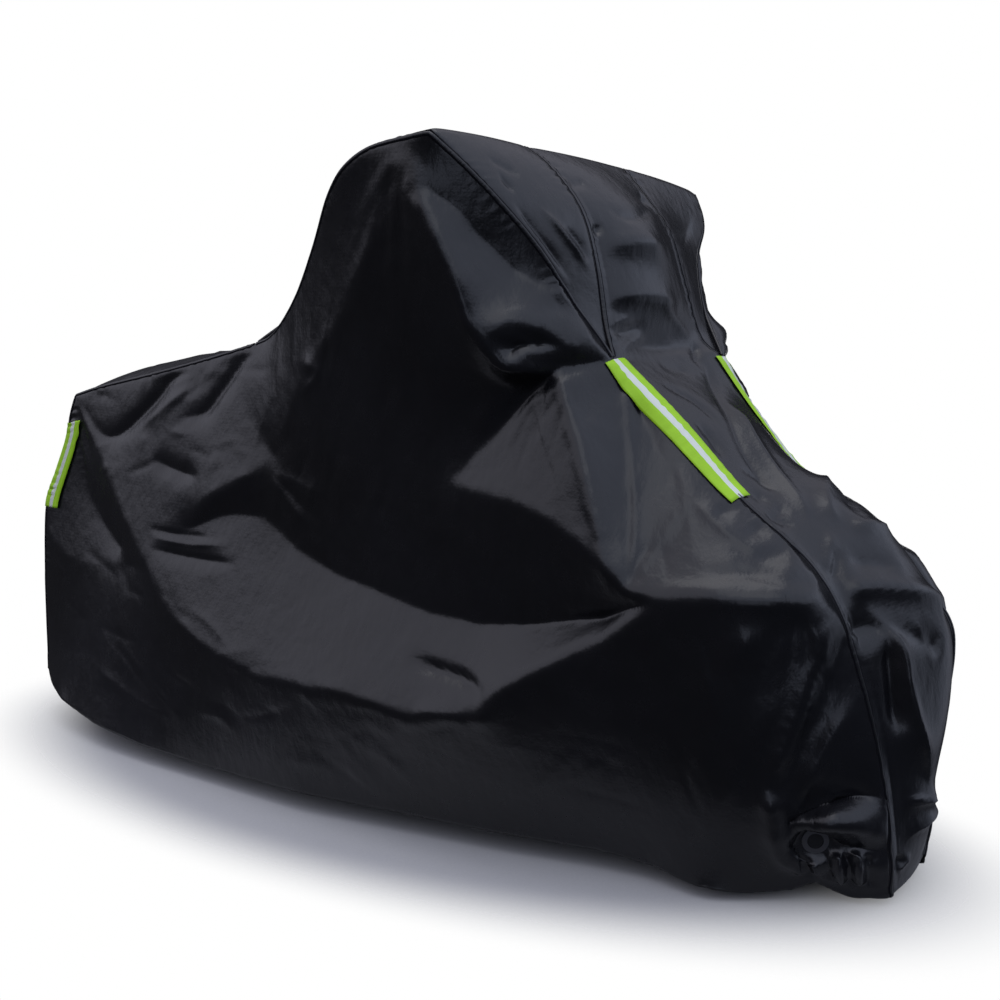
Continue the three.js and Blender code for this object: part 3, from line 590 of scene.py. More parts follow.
# %% Grids of the strip, the gussets and the tail
STRIP_CROWN = table("at crown lean",
    (0, 6, .5), (.12, 28, .5), (.25, 33, .5), (.5, 33, .5), (.85, 12, .5), (1.05, -6, .5),
    (1.4, 8, .5), (1.8, 2, .5), (2, 2, .5), (2.3, 18, .5), (2.5, 34, .5), (2.72, 26, .5),
    (2.93, -14, .5), (3.04, -6, .5), (3.12, 10, .58), (3.2, 26, .64), (3.34, 40, .64),
    (3.5, 50, .6), (3.6, 54, .58), (3.85, 46, .55), (4, 34, .5), (5, 4, .5))
GUSSET_CROWN = 3.0
GUSSET_WIDTH = 265.0
TAIL_CROWN = 26.0
CROWN_START = 0.75  # the share of the flat cloth beside a seam where the crown starts
EVEN_OUT = 7  # fine rows over which the way out of a strip is evened


def read_rows(rows, value, at):
    places = places_of(rows, "at", value)
    return np.interp(at, places[:, 0], places[:, 1])


def across_shares(width, coarse, edge_cells, cells):
    """Shares across a strip: narrow cells beside the seams where a tape may lie."""
    edge = min(SEAM_ROW / width, 1 / coarse) if edge_cells else 1 / coarse
    rough = np.concatenate([[0], np.linspace(edge, 1 - edge, coarse - 1), [1]])
    inner = [cells] * (coarse - 2)
    return refined(rough, [edge_cells or cells, *inner, edge_cells or cells])


def ways_out(rights, lefts):
    """Square to the run of a strip, seen from the side."""
    run = np.gradient((rights + lefts) / 2, axis=0)
    run[:, 1] = 0
    run = unit(evened(unit(run), EVEN_OUT))
    return np.column_stack([-run[:, 2], run[:, 1], run[:, 0]])


def strip_rows(rights, lefts, coarse, edge_cells, cells, lifts, leans):
    rows = []
    for start, end, lift, lean in zip(rights, lefts, lifts, leans):
        wide = np.linalg.norm(end - start)
        t = across_shares(wide, coarse, edge_cells, cells)
        edge = CROWN_START * min(SEAM_ROW / wide, 1 / coarse) if edge_cells else 0
        inner = np.clip((t - edge) / (1 - 2 * edge), 0, 1)
        rise = np.sin(np.pi * inner ** (math.log(0.5) / math.log(lean)))
        rows.append(start + (end - start) * t[:, None] + lift * rise[:, None])
    return np.array(rows)


def strip_seam(rows, side):
    lines = seam_stretches(rows, ("rise", "fall"))
    line = joined(lines["rise"], lines["fall"])[:, :3]
    line[0], line[-1] = side["rise"][0, :3], side["front"][0, :3]
    return line


inner_right = strip_seam(STRIP_SEAM_RIGHT, right)
inner_left = strip_seam(STRIP_SEAM_LEFT, left)


def strip_edge(side, inner):
    return joined(side["seat"][:, :3], inner, side["front"][:, :3], side["foot"][:, :3])


strip_places = joined(*[(n + np.linspace(0, 1, len(right[part])))[:, None]
                        for n, part in enumerate(PARTS)])[:, 0]
edge_right, edge_left = strip_edge(right, inner_right), strip_edge(left, inner_left)
crowns = read_rows(STRIP_CROWN, "crown", strip_places)
leans = read_rows(STRIP_CROWN, "lean", strip_places)
strip = strip_rows(edge_right, edge_left, COARSE["strip"], FINER["strip_edge"], FINER["strip"],
                   ways_out(edge_right, edge_left) * crowns[:, None], leans)


def gusset_grid(outer, inner, outer_is_right):
    """A gusset narrows to a point just short of where its two seams meet."""
    bulge = GUSSET_CROWN * np.linalg.norm(outer - inner, axis=1) / GUSSET_WIDTH
    lifts = ways_out(outer, inner) * bulge[:, None]
    pair = (outer, inner) if outer_is_right else (inner, outer)
    lean = np.full(len(outer), 0.5)
    grid = strip_rows(*pair, COARSE["lens"], 0, FINER["lens"], lifts, lean)
    return grid[1:-1]


gusset_right = gusset_grid(joined(right["rise"], right["fall"])[:, :3], inner_right, True)
gusset_left = gusset_grid(joined(left["rise"], left["fall"])[:, :3], inner_left, False)

rows_down = side_right.shape[1]
tail_lift = np.tile([-TAIL_CROWN, 0.0, 0.0], (rows_down, 1))
tail_lift[0] = 0
tail_lift = tail_lift * smooth_step(np.arange(rows_down), 0, 2 * FINER["seam_row"])[:, None]
tail = strip_rows(side_right[0], side_left[0], COARSE["strip"], FINER["strip_edge"],
                  FINER["strip"], tail_lift, np.full(rows_down, 0.5))
print("strip", strip.shape, "gussets", gusset_right.shape, "tail", tail.shape)

# %% [markdown]
# ## Creases
# A crease is a soft trough or ridge along a short line. It is pressed into a panel along the
# way out of the cloth, deepest in its middle and fading to its ends and to the seams, where
# two layers of cloth are too stiff to crease.

# %% Press creases into a grid
SEAM_STIFF = (3.0, 26.0)  # creases fade in over these distances from a seam
INSIDE = np.array([-100.0, 0.0, 500.0])  # a place well inside the cover


def facing(grid, normals):
    """1 if the normals lead out of the cover, -1 if they lead in."""
    return 1 if ((grid - INSIDE) * normals).sum() > 0 else -1


def grid_normals(grid):
    run_i, run_j = np.gradient(grid, axis=0), np.gradient(grid, axis=1)
    return unit(np.cross(run_j, run_i))


def ways_out_of(grid):
    """The way out of the cover at each point of a panel."""
    normals = grid_normals(grid)
    return normals * facing(grid, normals)


def run_along(grid, axis):
    steps = np.linalg.norm(np.diff(grid, axis=axis), axis=2)
    zero = np.zeros_like(np.take(steps, [0], axis=axis))
    return np.cumsum(np.concatenate([zero, steps], axis=axis), axis=axis)


CREASE_STEP = 4  # every so many points of its smooth line are used
CREASE_REACH = 3.2  # times its width, where about 2% of a crease's depth is left
CREASE_DEFAULTS = {"wide": 14.0, "sharp": 1.15, "fade": 0.35}
FAN = {"start": 12.0, "stray": 2.5, "longs": (0.5, 1), "depths": (0.5, 1),
       "widths": (0.7, 1.3), "fade": 0.3}


def crease(out, *line, **more):
    return {**CREASE_DEFAULTS, "out": out, "line": np.array(line, float), **more}


def nearest_on(line, spots):
    """The distance from each spot to a line, and the share of the line where it is nearest."""
    run = run_of(line)
    best = np.full(len(spots), np.inf)
    where = np.zeros(len(spots))
    for k, step in enumerate(np.diff(line, axis=0)):
        t = np.clip(((spots - line[k]) @ step) / max(step @ step, 1e-9), 0, 1)
        gap = np.linalg.norm(spots - (line[k] + t[:, None] * step), axis=1)
        closer = gap < best
        best[closer] = gap[closer]
        where[closer] = (run[k] + t * (run[k + 1] - run[k]))[closer] / run[-1]
    return best, where


def press(flat, creases):
    """How far each point of a panel moves out. `flat` holds two coordinates of each point."""
    depth = np.zeros(flat.shape[:2])
    for one in creases:
        line = catmull_rom(one["line"])[::CREASE_STEP]
        reach = CREASE_REACH * one["wide"]
        low, high = line.min(axis=0) - reach, line.max(axis=0) + reach
        box = np.all((flat > low) & (flat < high), axis=2)
        if not box.any():
            continue
        away, share = nearest_on(line, flat[box])
        ends = smooth_step(share, 0, one["fade"]) * smooth_step(1 - share, 0, one["fade"])
        depth[box] += one["out"] * ends * np.exp(-(away / one["wide"]) ** one["sharp"])
    return depth


def fan(rng, hub, turns, count, reach, out, wide):
    """Straight tight creases that lead away from a hub, between two headings in degrees."""
    made = []
    for share in (np.arange(count) + 0.5) / count:
        heading = turns[0] + (turns[1] - turns[0]) * share + rng.normal(0, FAN["stray"])
        angle = math.radians(heading)
        way = np.array([math.cos(angle), math.sin(angle)])
        start = np.array(hub) + FAN["start"] * way
        end = np.array(hub) + reach * rng.uniform(*FAN["longs"]) * way
        deep = out * rng.choice([-1, 1]) * rng.uniform(*FAN["depths"])
        made.append(crease(deep, start, (start + end) / 2, end,
                           wide=wide * rng.uniform(*FAN["widths"]), fade=FAN["fade"]))
    return made


# %% [markdown]
# The side creases are given in x and z, in millimetres. Those on the strip and the gussets
# are given as the run along them from the tail end, and the distance to the left of the
# middle of the motorcycle. The first number is how far a crease stands out, or sinks in.
# The places were printed by a measuring program. The depths and widths were chosen.

# %% Creases of the side panels
SIDE_CREASES = [
    # below the seat, where cloth is drawn from the seam towards the footrest
    crease(-14, (-973, 748), (-892, 712), (-749, 790), (-657, 861), (-580, 879), wide=19),
    crease(-14, (-624, 774), (-543, 788), (-482, 847), (-425, 904), (-371, 926), wide=18),
    crease(6, (-779, 734), (-656, 807), (-555, 860), wide=16),
    crease(-11, (-719, 679), (-609, 658), (-512, 653), wide=20),
    crease(6, (-202, 922), (-119, 897), (-197, 842), wide=18),
    # thin folds above the footrest
    crease(-6, (-695, 526), (-573, 521), (-462, 524), wide=7),
    crease(5, (-682, 511), (-551, 506), (-406, 518), wide=6),
    crease(-8, (-685, 485), (-560, 478), (-365, 481), wide=9),
    # the hump, with the sharp ridges that start at the bar end and at the knee
    crease(5, (210, 1226), (247, 1151), (282, 1068), (299, 1002), (320, 970),
           wide=7, fade=0.12),
    crease(6, (403, 916), (434, 858), (495, 734), (553, 587), (579, 561), wide=8, fade=0.12),
    crease(6, (482, 886), (516, 801), (566, 671), (583, 605), (585, 565), wide=8, fade=0.12),
    crease(6, (187, 1266), (119, 1168), (37, 1081), (-42, 1017), wide=28),
    crease(8, (350, 897), (290, 854), (250, 787), wide=20, fade=0.4),
    crease(4, (385, 1017), (418, 989), (445, 953), wide=5),
    crease(-3, (413, 907), (439, 863), (465, 815), wide=6),
    crease(5, (346, 948), (383, 949), (425, 954), (446, 951), wide=9, fade=0.35),
    crease(5, (335, 926), (375, 921), (403, 919), wide=7, fade=0.35),
    # the footrest dimple
    crease(-13, (106, 369), (174, 360), (254, 355), (335, 339), wide=12, sharp=1.4),
    crease(5, (157, 274), (201, 290), (245, 294), (294, 303), wide=10),
    # beside the front seam
    crease(5, (640, 699), (702, 655), (750, 625), (804, 610), wide=7),
    crease(-5, (682, 677), (694, 676), (707, 680), wide=8),
    crease(-5, (734, 652), (751, 647), (762, 655), wide=8),
    crease(-7, (757, 619), (792, 609), (815, 610), wide=8),
    crease(-5, (696, 591), (757, 588), (807, 593), wide=9),
    crease(4, (635, 561), (707, 564), (790, 574), wide=7),
    crease(-4, (588, 565), (611, 582), wide=8),
    # beside the front wheel
    crease(9, (853, 473), (807, 366), (736, 215), (673, 68), wide=40),
    crease(9, (864, 543), (873, 477), (857, 418), (832, 331), (806, 242), wide=12, fade=0.2),
    crease(9, (805, 233), (810, 178), (814, 96), (834, 63), wide=12, fade=0.2),
    crease(6, (922, 391), (895, 337), (859, 249), (841, 203), wide=16),
]
RIGHT_EXTRA = [
    # the flap over the lock eyelet, and the gathers of the elastic hem below it
    crease(5, (897, 236), (874, 190), (873, 176), wide=8),
    crease(11, (836, 114), (832, 88), (838, 59), wide=6, fade=0.25),
    crease(10, (864, 113), (863, 93), (868, 67), wide=5, fade=0.2),
    crease(13, (884, 110), (900, 93), (898, 47), wide=6, fade=0.2),
    crease(14, (909, 109), (927, 93), (923, 45), wide=6, fade=0.2),
    crease(-6, (849, 94), (851, 78), (852, 54), wide=6, fade=0.3),
    crease(-9, (874, 113), (884, 91), (883, 55), wide=5, fade=0.2),
    crease(-9, (901, 106), (915, 87), (911, 44), wide=5, fade=0.2),
    crease(-9, (937, 105), (942, 82), (937, 41), wide=6, fade=0.2),
]

# %% Creases of the middle strip and the gussets
STRIP_CREASES = [
    # over the handlebar
    crease(-8, (1619, -90), (1649, -46), (1600, 105), wide=11),
    crease(-9, (1589, 74), (1544, 156), (1547, 156), wide=11),
    crease(-8, (1659, -150), (1674, -142), (1668, -109), wide=9),
    crease(-5, (1556, -150), (1569, -126), (1560, -83), wide=8),
    crease(9, (1716, -147), (1699, -60), (1701, 58), wide=24, sharp=1.5),
    crease(13, (1811, -161), (1799, -71), (1807, 79), wide=26),
    # drawn to the two junctions
    crease(6, (1858, -167), (1850, -131), (1839, -78), wide=6),
    crease(-6, (1879, -170), (1866, -103), (1846, -36), wide=8),
    crease(6, (1912, -160), (1890, -100), (1869, -34), wide=6),
    crease(-9, (1889, 128), (1947, 70), wide=9),
    crease(6, (1803, -13), (1846, 76), (1875, 124), wide=12),
    # the long ridge on the left, and the wrinkles beside the tape
    crease(8, (2044, 63), (2151, 7), (2260, -34), (2365, -87), wide=12, fade=0.2),
    crease(-9, (1936, 119), (2022, 52), (2153, -39), (2242, -70), (2297, -85),
           wide=12, fade=0.2),
    crease(-5, (2297, -85), (2317, -117), (2319, -167), wide=6),
    crease(-6, (2312, -167), (2330, -141), (2356, -112), wide=6),
    crease(-6, (2206, -104), (2231, -75), (2276, -76), wide=7),
    crease(-5, (2264, -139), (2278, -106), wide=7),
    crease(-7, (2100, -120), (2125, -104), (2184, -119), wide=10),
    crease(-5, (1988, -120), (2042, -62), (2119, -51), wide=8),
    crease(-5, (1945, -57), (1962, 41), wide=9),
    # the nose, over the front wheel
    crease(9, (2240, 149), (2353, -30), (2405, -39), wide=12, fade=0.25),
    crease(-10, (2288, 159), (2377, 12), (2412, 16), wide=20),
    crease(6, (2391, -64), (2424, -96), (2468, -146), wide=8),
    crease(-8, (2426, -85), (2463, -116), (2487, -146), wide=8),
    crease(12, (2405, -39), (2417, 9), (2435, 73), wide=19),
    crease(-11, (2456, -94), (2480, -44), (2503, 1), wide=19),
    crease(15, (2503, -133), (2519, -75), (2542, -24), (2587, 82),
           wide=24, fade=0.15, sharp=1.4),
    crease(-13, (2568, -158), (2592, -89), (2628, -36), (2663, 14),
           wide=25, fade=0.15, sharp=1.4),
    # the corner of the nose
    crease(9, (2589, 151), (2623, 147), (2673, 136), wide=26, sharp=1.4),
    # above the front hem
    crease(22, (2533, -107), (2587, -87), (2626, -74), (2695, -74), (2788, -55), (2889, -10),
           wide=40, fade=0.3, sharp=1.2),
    crease(7, (2533, -107), (2587, -87), (2626, -74), (2695, -74), (2788, -55), (2889, -10),
           (2920, 18), wide=8, fade=0.2),
    crease(-20, (2599, -91), (2690, -94), (2799, -91), wide=13, fade=0.3),
    crease(4, (2584, -36), (2653, -22), (2693, -16), wide=11),
    crease(13, (2906, -79), (2913, -41), (2934, 36), wide=14),
    crease(12, (2966, 109), (2967, -33), (2991, -66), wide=15),
    crease(7, (3013, -39), (3038, -84), wide=8),
    crease(-7, (3004, -67), (3038, -92), wide=8),
]
GUSSET_CREASES = [
    crease(9, (926, -259), (986, -225), (1057, -174), wide=8),
    crease(-9, (913, -315), (988, -276), (1076, -223), wide=13),
    crease(-7, (968, -218), (997, -189), (1035, -172), wide=9),
    crease(-4, (820, -327), (842, -298), (867, -262), wide=9),
    crease(-5, (861, -318), (879, -309), (902, -301), wide=6),
]
GUSSET_LEFT_CREASES = [
    crease(-10, (1000, 152), (1046, 156), (1078, 159), wide=12),
    crease(-8, (840, 361), (903, 300), (972, 193), wide=14),
]

# %% Uneven cloth between the creases
SMALL_SEED = 11
SMALL_SAG = 0.06  # how much a small crease bows, as a share of half its length
SMALL_FADE = 0.45
# beside a seam the stitching draws the cloth up in ripples, which come in slow gathers
PUCKERS = {"high": 1.9, "pitch": 19.0, "middle": 9.0, "reach": 18.0, "start": 7.0,
           "waves": 4, "stretch": (0.7, 1.6), "gathers": 9.0, "least": 0.55, "more": 0.45}
SEAM_PILLOW = {"high": 3.2, "wide": 17.0}  # how much the cloth puffs up beside a seam
FOOT_CALM = (120.0, 420.0)  # ripples fade out over these distances from the foot
NARROW = (40.0, 150.0)  # a strip narrower than this is too stiff for full puckers


def small_creases(rng, count, along, up, heading, spread, out, wide, long):
    """Many short, faint creases in one area, which all lie nearly one way."""
    made = []
    for _ in range(count):
        middle = np.array([rng.uniform(*along), rng.uniform(*up)])
        angle = math.radians(heading + rng.normal(0, spread))
        half = 0.5 * rng.uniform(*long) * np.array([math.cos(angle), math.sin(angle)])
        sag = rng.normal(0, SMALL_SAG) * np.array([-half[1], half[0]])
        sign = rng.choice([-1, 1])
        made.append(crease(sign * rng.uniform(*out), middle - half, middle + sag,
                           middle + half, wide=rng.uniform(*wide), fade=SMALL_FADE))
    return made


def seam_puckers(run, away, seed):
    """Ripples beside a seam, whose stitching draws the cloth up."""
    rng = np.random.default_rng(seed)
    waves = 0.0
    for _ in range(PUCKERS["waves"]):
        phase, stretch = rng.uniform(0, 2 * math.pi), rng.uniform(*PUCKERS["stretch"])
        waves = waves + np.sin(run * 2 * math.pi / (PUCKERS["pitch"] * stretch) + phase)
    gathers = np.sin(run * 2 * math.pi / (PUCKERS["gathers"] * PUCKERS["pitch"]) + phase)
    beside = np.exp(-((away - PUCKERS["middle"]) / PUCKERS["reach"]) ** 2)
    beside = beside * smooth_step(away, 0, PUCKERS["start"])
    return PUCKERS["high"] * waves / 2 * beside * (PUCKERS["least"] + PUCKERS["more"] * gathers)


def crease_panel(grid, flat, creases, edges, puckers=(), calm=1.0):
    """Presses creases in and ripples the cloth beside its seams. `edges` are the distances
    to seams; each of `puckers` is (run along the seam, distance to it, seed). `calm` is 0
    where the cloth stays as it is."""
    depth = press(flat, creases)
    for away in edges:
        depth = depth * smooth_step(away, *SEAM_STIFF)
    width = edges[0].max(axis=1, keepdims=True)
    for run, away, seed in puckers:
        ripples = seam_puckers(run, away, seed)
        pillow = SEAM_PILLOW["high"] * (1 - np.exp(-away / SEAM_PILLOW["wide"] * 2))
        to_end = smooth_step(run.max() - run, *FOOT_CALM)
        depth = depth + (ripples * to_end + pillow) * smooth_step(width, *NARROW)
    return grid + ways_out_of(grid) * (depth * calm)[..., None]


def finish_side(grid, creases, seed):
    """All creases of a side panel, with any gathers of its hem, and ripples beside its seams."""
    along, down = run_along(grid, 0), run_along(grid, 1)
    to_foot = along[-1:] - along
    flat = grid[..., [0, 2]]
    from_eyelet = np.hypot(flat[..., 0] - EYELET_SEAT["x"], flat[..., 1] - EYELET_SEAT["z"])
    top_run = np.broadcast_to(along[:, :1], down.shape)
    rear_run = np.broadcast_to(down[:1], down.shape)
    return crease_panel(grid, flat, creases, (down, along, to_foot),
                        ((top_run, down, seed), (rear_run, along, seed + 1),
                         (np.broadcast_to(down[-1:], down.shape), to_foot, seed + 2)),
                        calm=smooth_step(from_eyelet, EYELET_SEAT["flat"] - 4,
                                         EYELET_SEAT["fade"]))


SMALL_AREAS = table("count along up heading spread out wide long",
    (30, (-1100, -300), (120, 420), -12, 18, (0.8, 2.4), (8, 18), (90, 300)),
    (30, (-250, 620), (110, 280), 10, 24, (0.8, 2.4), (8, 18), (90, 300)),
    (26, (-950, -350), (620, 900), 24, 22, (0.8, 2.2), (6, 14), (60, 200)),
    (26, (-350, 250), (620, 1150), 74, 12, (0.8, 2.4), (7, 16), (90, 280)),
    (20, (300, 800), (560, 850), -58, 14, (0.8, 2.0), (6, 12), (70, 220)),
    (18, (620, 900), (100, 520), 84, 12, (1.0, 2.6), (6, 14), (80, 220)))
# drawn to the junction ahead of the handlebar, the bar end, and the ends of the long folds
FANS = table("hub turns count reach out wide",
    ((455, 925), (118, 178), 8, 190, 2.6, 6),
    ((455, 925), (200, 280), 9, 210, 2.4, 6),
    ((190, 1300), (215, 292), 10, 330, 2.6, 9),
    ((395, 915), (222, 268), 6, 220, 2.2, 7),
    ((590, 530), (60, 132), 8, 230, 2.2, 7),
    ((590, 530), (176, 250), 8, 260, 2.2, 9),
    ((850, 560), (120, 178), 5, 150, 2.2, 6),
    ((850, 555), (236, 282), 6, 260, 2.6, 8),
    ((-1058, 800), (270, 330), 8, 300, 2.6, 8),
    ((-300, 690), (290, 350), 7, 260, 2.4, 9))
STRIP_AREA, TAIL_AREA = table("count along up heading spread out wide long",
    (34, (40, 1450), (-170, 170), 84, 26, (1.6, 4.5), (9, 20), (90, 240)),
    (14, (40, 640), (-120, 120), 80, 30, (1.6, 4.5), (9, 20), (90, 220)))
CREASE_SEEDS = {"side_right": 3, "side_left": 7, "strip": 21, "gusset_right": 31,
                "gusset_left": 41, "tail": 51}
rng = np.random.default_rng(SMALL_SEED)
small_sides = [one for row in SMALL_AREAS for one in small_creases(rng, **row)]
small_sides += [one for row in FANS for one in fan(rng, **row)]
small_strip = small_creases(rng, **STRIP_AREA)
small_tail = small_creases(rng, **TAIL_AREA)


def strip_flat(grid):
    """Run along the strip and distance to the left of its middle."""
    middle = grid[:, grid.shape[1] // 2]
    run = run_of(middle)
    return np.stack([np.broadcast_to(run[:, None], grid.shape[:2]), grid[..., 1]], axis=2)


def finish_strip(grid, creases, seed):
    across = run_along(grid, 1)
    back = across[:, -1:] - across
    along = np.broadcast_to(run_along(grid, 0)[:, :1], across.shape)
    return crease_panel(grid, strip_flat(grid), creases, (across, back),
                        ((along, across, seed), (along, back, seed + 1)))


side_right = finish_side(side_right, SIDE_CREASES + RIGHT_EXTRA + small_sides,
                         CREASE_SEEDS["side_right"])
side_left = finish_side(side_left, SIDE_CREASES + small_sides, CREASE_SEEDS["side_left"])
strip = finish_strip(strip, STRIP_CREASES + small_strip, CREASE_SEEDS["strip"])
gusset_right = finish_strip(gusset_right, GUSSET_CREASES, CREASE_SEEDS["gusset_right"])
gusset_left = finish_strip(gusset_left, GUSSET_LEFT_CREASES, CREASE_SEEDS["gusset_left"])
tail = finish_strip(tail, small_tail, CREASE_SEEDS["tail"])
print("creases pressed:", len(SIDE_CREASES) + len(small_sides), "on each side")

# %% [markdown]
# ## Sheets
# Each panel becomes one thin sheet of doubled cloth. Each point also knows where it lies on
# the cut cloth, for the weave.

# %% Meshes from grids
SHEET_THICKNESS = 1.2


def quads(shape):
    i, j = np.meshgrid(np.arange(shape[0] - 1), np.arange(shape[1] - 1), indexing="ij")
    a = (i * shape[1] + j).ravel()
    return np.column_stack([a, a + 1, a + shape[1] + 1, a + shape[1]])


def make_mesh(name, grid, uv):
    """A smooth mesh from a grid in millimetres, with its faces to the outside."""
    faces = quads(grid.shape)
    if facing(grid, grid_normals(grid)) < 0:
        faces = faces[:, ::-1]
    points = (grid.reshape(-1, 3) - HANDLEBAR_REST) * MM
    mesh = bpy.data.meshes.new(name)
    mesh.from_pydata(points.tolist(), [], faces.tolist())
    layer = mesh.uv_layers.new(name="cloth")
    flat = uv.reshape(-1, 2) * MM
    corner = np.empty(len(mesh.loops), dtype=np.int32)
    mesh.loops.foreach_get("vertex_index", corner)
    layer.data.foreach_set("uv", flat[corner].ravel().astype(np.float32))
    mesh.polygons.foreach_set("use_smooth", [True] * len(mesh.polygons))
    piece = bpy.data.objects.new(name, mesh)
    bpy.context.scene.collection.objects.link(piece)
    return piece


def thicken(piece, thickness=SHEET_THICKNESS):
    solid = piece.modifiers.new("thickness", "SOLIDIFY")
    solid.thickness = thickness * MM
    solid.offset = -1
    solid.use_rim = True


def sheet_piece(name, grid, flat=None):
    """A panel of cloth with its cut-cloth coordinates."""
    along, down = run_along(grid, 0), run_along(grid, 1)
    uv = np.stack([np.broadcast_to(along[:, :1], down.shape), down], axis=2)
    piece = make_mesh(name, grid, uv if flat is None else flat)
    thicken(piece)
    return piece


def area_of(grid):
    a = grid[1:, :-1] - grid[:-1, :-1]
    b = grid[:-1, 1:] - grid[:-1, :-1]
    return float(np.linalg.norm(np.cross(a, b), axis=2).sum()) * MM * MM


panel_right = sheet_piece("panel_right", side_right, side_right[..., [0, 2]])
panel_left = sheet_piece("panel_left", side_left, side_left[..., [0, 2]])
strip_sheet = sheet_piece("strip_sheet", strip)
gusset_sheet_right = sheet_piece("gusset_sheet_right", gusset_right)
gusset_sheet_left = sheet_piece("gusset_sheet_left", gusset_left)
tail_sheet = sheet_piece("tail_sheet", tail)
print("areas m2:", [round(area_of(g), 3) for g in
                    (side_right, side_left, strip, gusset_right, gusset_left, tail)])

# %% [markdown]
# ## Seams
# The panels are joined with flat seams: the two edges are folded together and stitched down
# with two rows of thread. Each seam is a narrow band that lies over the joint.

# %% Seam bands
BAND_WIDTH = 13.0
FRONT_TAPE_CELLS = 4  # the seam band of the front starts below the tape
BAND_LIFT = 2.4
# the section of a band: the share of its width and of its lift at each point
BAND_SECTION = ((0.0, -0.3), (0.05, 0.55), (0.25, 0.9), (0.5, 1.0), (0.75, 0.9),
                (0.95, 0.55), (1.0, -0.3))
BESIDE = 2  # fine cells in from an edge, where a band takes its direction from a panel


def band(name, line, beside_a, beside_b):
    """A narrow, slightly rounded band over a seam, between two panels that meet there."""
    a = line + unit(beside_a - line) * (BAND_WIDTH / 2)
    b = line + unit(beside_b - line) * (BAND_WIDTH / 2)
    out = unit(np.cross(unit(np.gradient(line, axis=0)), b - a))
    out = out * facing(line, out)
    rows = []
    for t, high in BAND_SECTION:
        flat_place = (a + (line - a) * (t * 2)) if t < 0.5 else (line + (b - line) * (2 * t - 1))
        rows.append(flat_place + out * BAND_LIFT * high)
    grid = np.array(rows).transpose(1, 0, 2)
    across = np.linspace(0, BAND_WIDTH, len(BAND_SECTION))
    uv = np.stack([np.broadcast_to(run_of(line)[:, None], grid.shape[:2]),
                   np.broadcast_to(across, grid.shape[:2])], axis=2)
    return make_mesh(name, grid, uv)


n_seat, n_rise = len(right["seat"]), len(right["rise"])
n_fall, n_front = len(right["fall"]), len(right["front"])
lens_start = n_seat - 1
lens_end = lens_start + n_rise - 1 + n_fall - 1
front_end = lens_end + n_front - 1
below_tape = lens_end + FRONT_TAPE_CELLS * FINER["front"] - 1


def side_bands(tag, panel, gusset_outer, gusset_inner, strip_near, strip_line, tail_near):
    """The seams of one side: along the seat, around the gusset, down the front and rear."""
    line, inner = panel[:, 0], panel[:, BESIDE]
    seat, lens = slice(0, lens_start + 1), slice(lens_start + 1, lens_end)
    front = slice(below_tape, front_end)
    return [
        band("seam_seat_" + tag, line[seat], inner[seat], strip_near[seat]),
        band("seam_outer_" + tag, line[lens], inner[lens], gusset_outer),
        band("seam_inner_" + tag, strip_line[lens], gusset_inner, strip_near[lens]),
        band("seam_front_" + tag, np.vstack([line[front], panel[-1]]),
             np.vstack([inner[front], panel[-2]]), strip_near[below_tape:]),
        band("seam_rear_" + tag, panel[0], panel[BESIDE], tail_near),
    ]


near, far = BESIDE, -1 - BESIDE
seam_pieces = side_bands("right", side_right, gusset_right[:, near], gusset_right[:, far],
                         strip[:, near], strip[:, 0], tail[:, near])
seam_pieces += side_bands("left", side_left, gusset_left[:, far], gusset_left[:, near],
                          strip[:, far], strip[:, -1], tail[:, far])
print(len(seam_pieces), "seam bands")

# %% [markdown]
# ## Reflective tapes
# Two tapes lie over the front seams and two beside the rear edge. Each is a woven lime tape
# with a silver stripe of glass beads along its middle.

# %% Tapes
REAR_TAPE_ROWS = (2, 7)
TAPE_LIFT = 3.2
REAR_TAPE_LIFT = 4.6  # it clears the band of the rear seam
TAPE_EASING = 6
TAPE_THICKNESS = 0.7


def lifted(grid, lift):
    return grid + ways_out_of(grid) * lift


def tape(name, grid, lift=TAPE_LIFT):
    grid = lifted(grid, lift)
    along, across = run_along(grid, 0), run_along(grid, 1)
    share = across / across[:, -1:] * TAPE_WIDTH
    uv = np.stack([np.broadcast_to(along[:, :1], share.shape), share], axis=2)
    piece = make_mesh(name, grid, uv)
    thicken(piece, TAPE_THICKNESS)
    return piece


seam_cells = FINER["seam_row"]
front_rows = slice(lens_end, lens_end + FRONT_TAPE_CELLS * FINER["front"] + 1)


def beside_seam(part):
    """The cloth at even distances from its seam, up to half the width of a tape."""
    want = np.linspace(0, TAPE_WIDTH / 2, seam_cells + 1)
    return np.array([np.column_stack([np.interp(want, run, row[:, k]) for k in range(3)])
                     for run, row in zip(run_along(part, 1), part)])


def front_tape_grid(panel, strip_part):
    """From the panel's side of the seam over to the strip's. A tape is too stiff to follow
    every ripple, so it is eased."""
    cloth_under = np.concatenate([beside_seam(panel[front_rows])[:, :0:-1],
                                  beside_seam(strip_part[front_rows])], axis=1)
    grid = cloth_under.copy()
    for _ in range(TAPE_EASING):
        grid[:, 1:-1] = (grid[:, :-2] + 2 * grid[:, 1:-1] + grid[:, 2:]) / 4
        grid[1:-1] = (grid[:-2] + 2 * grid[1:-1] + grid[2:]) / 4
    out = ways_out_of(cloth_under)
    sunk = np.maximum(((cloth_under - grid) * out).sum(axis=2), 0)
    return grid + out * sunk[..., None]


tape_right = tape("tape_ribbon_front_right", front_tape_grid(side_right, strip))
tape_left = tape("tape_ribbon_front_left", front_tape_grid(side_left, strip[:, ::-1]))
rear_from, rear_to = (seam_cells + (row - 1) * FINER["drop"] for row in REAR_TAPE_ROWS)


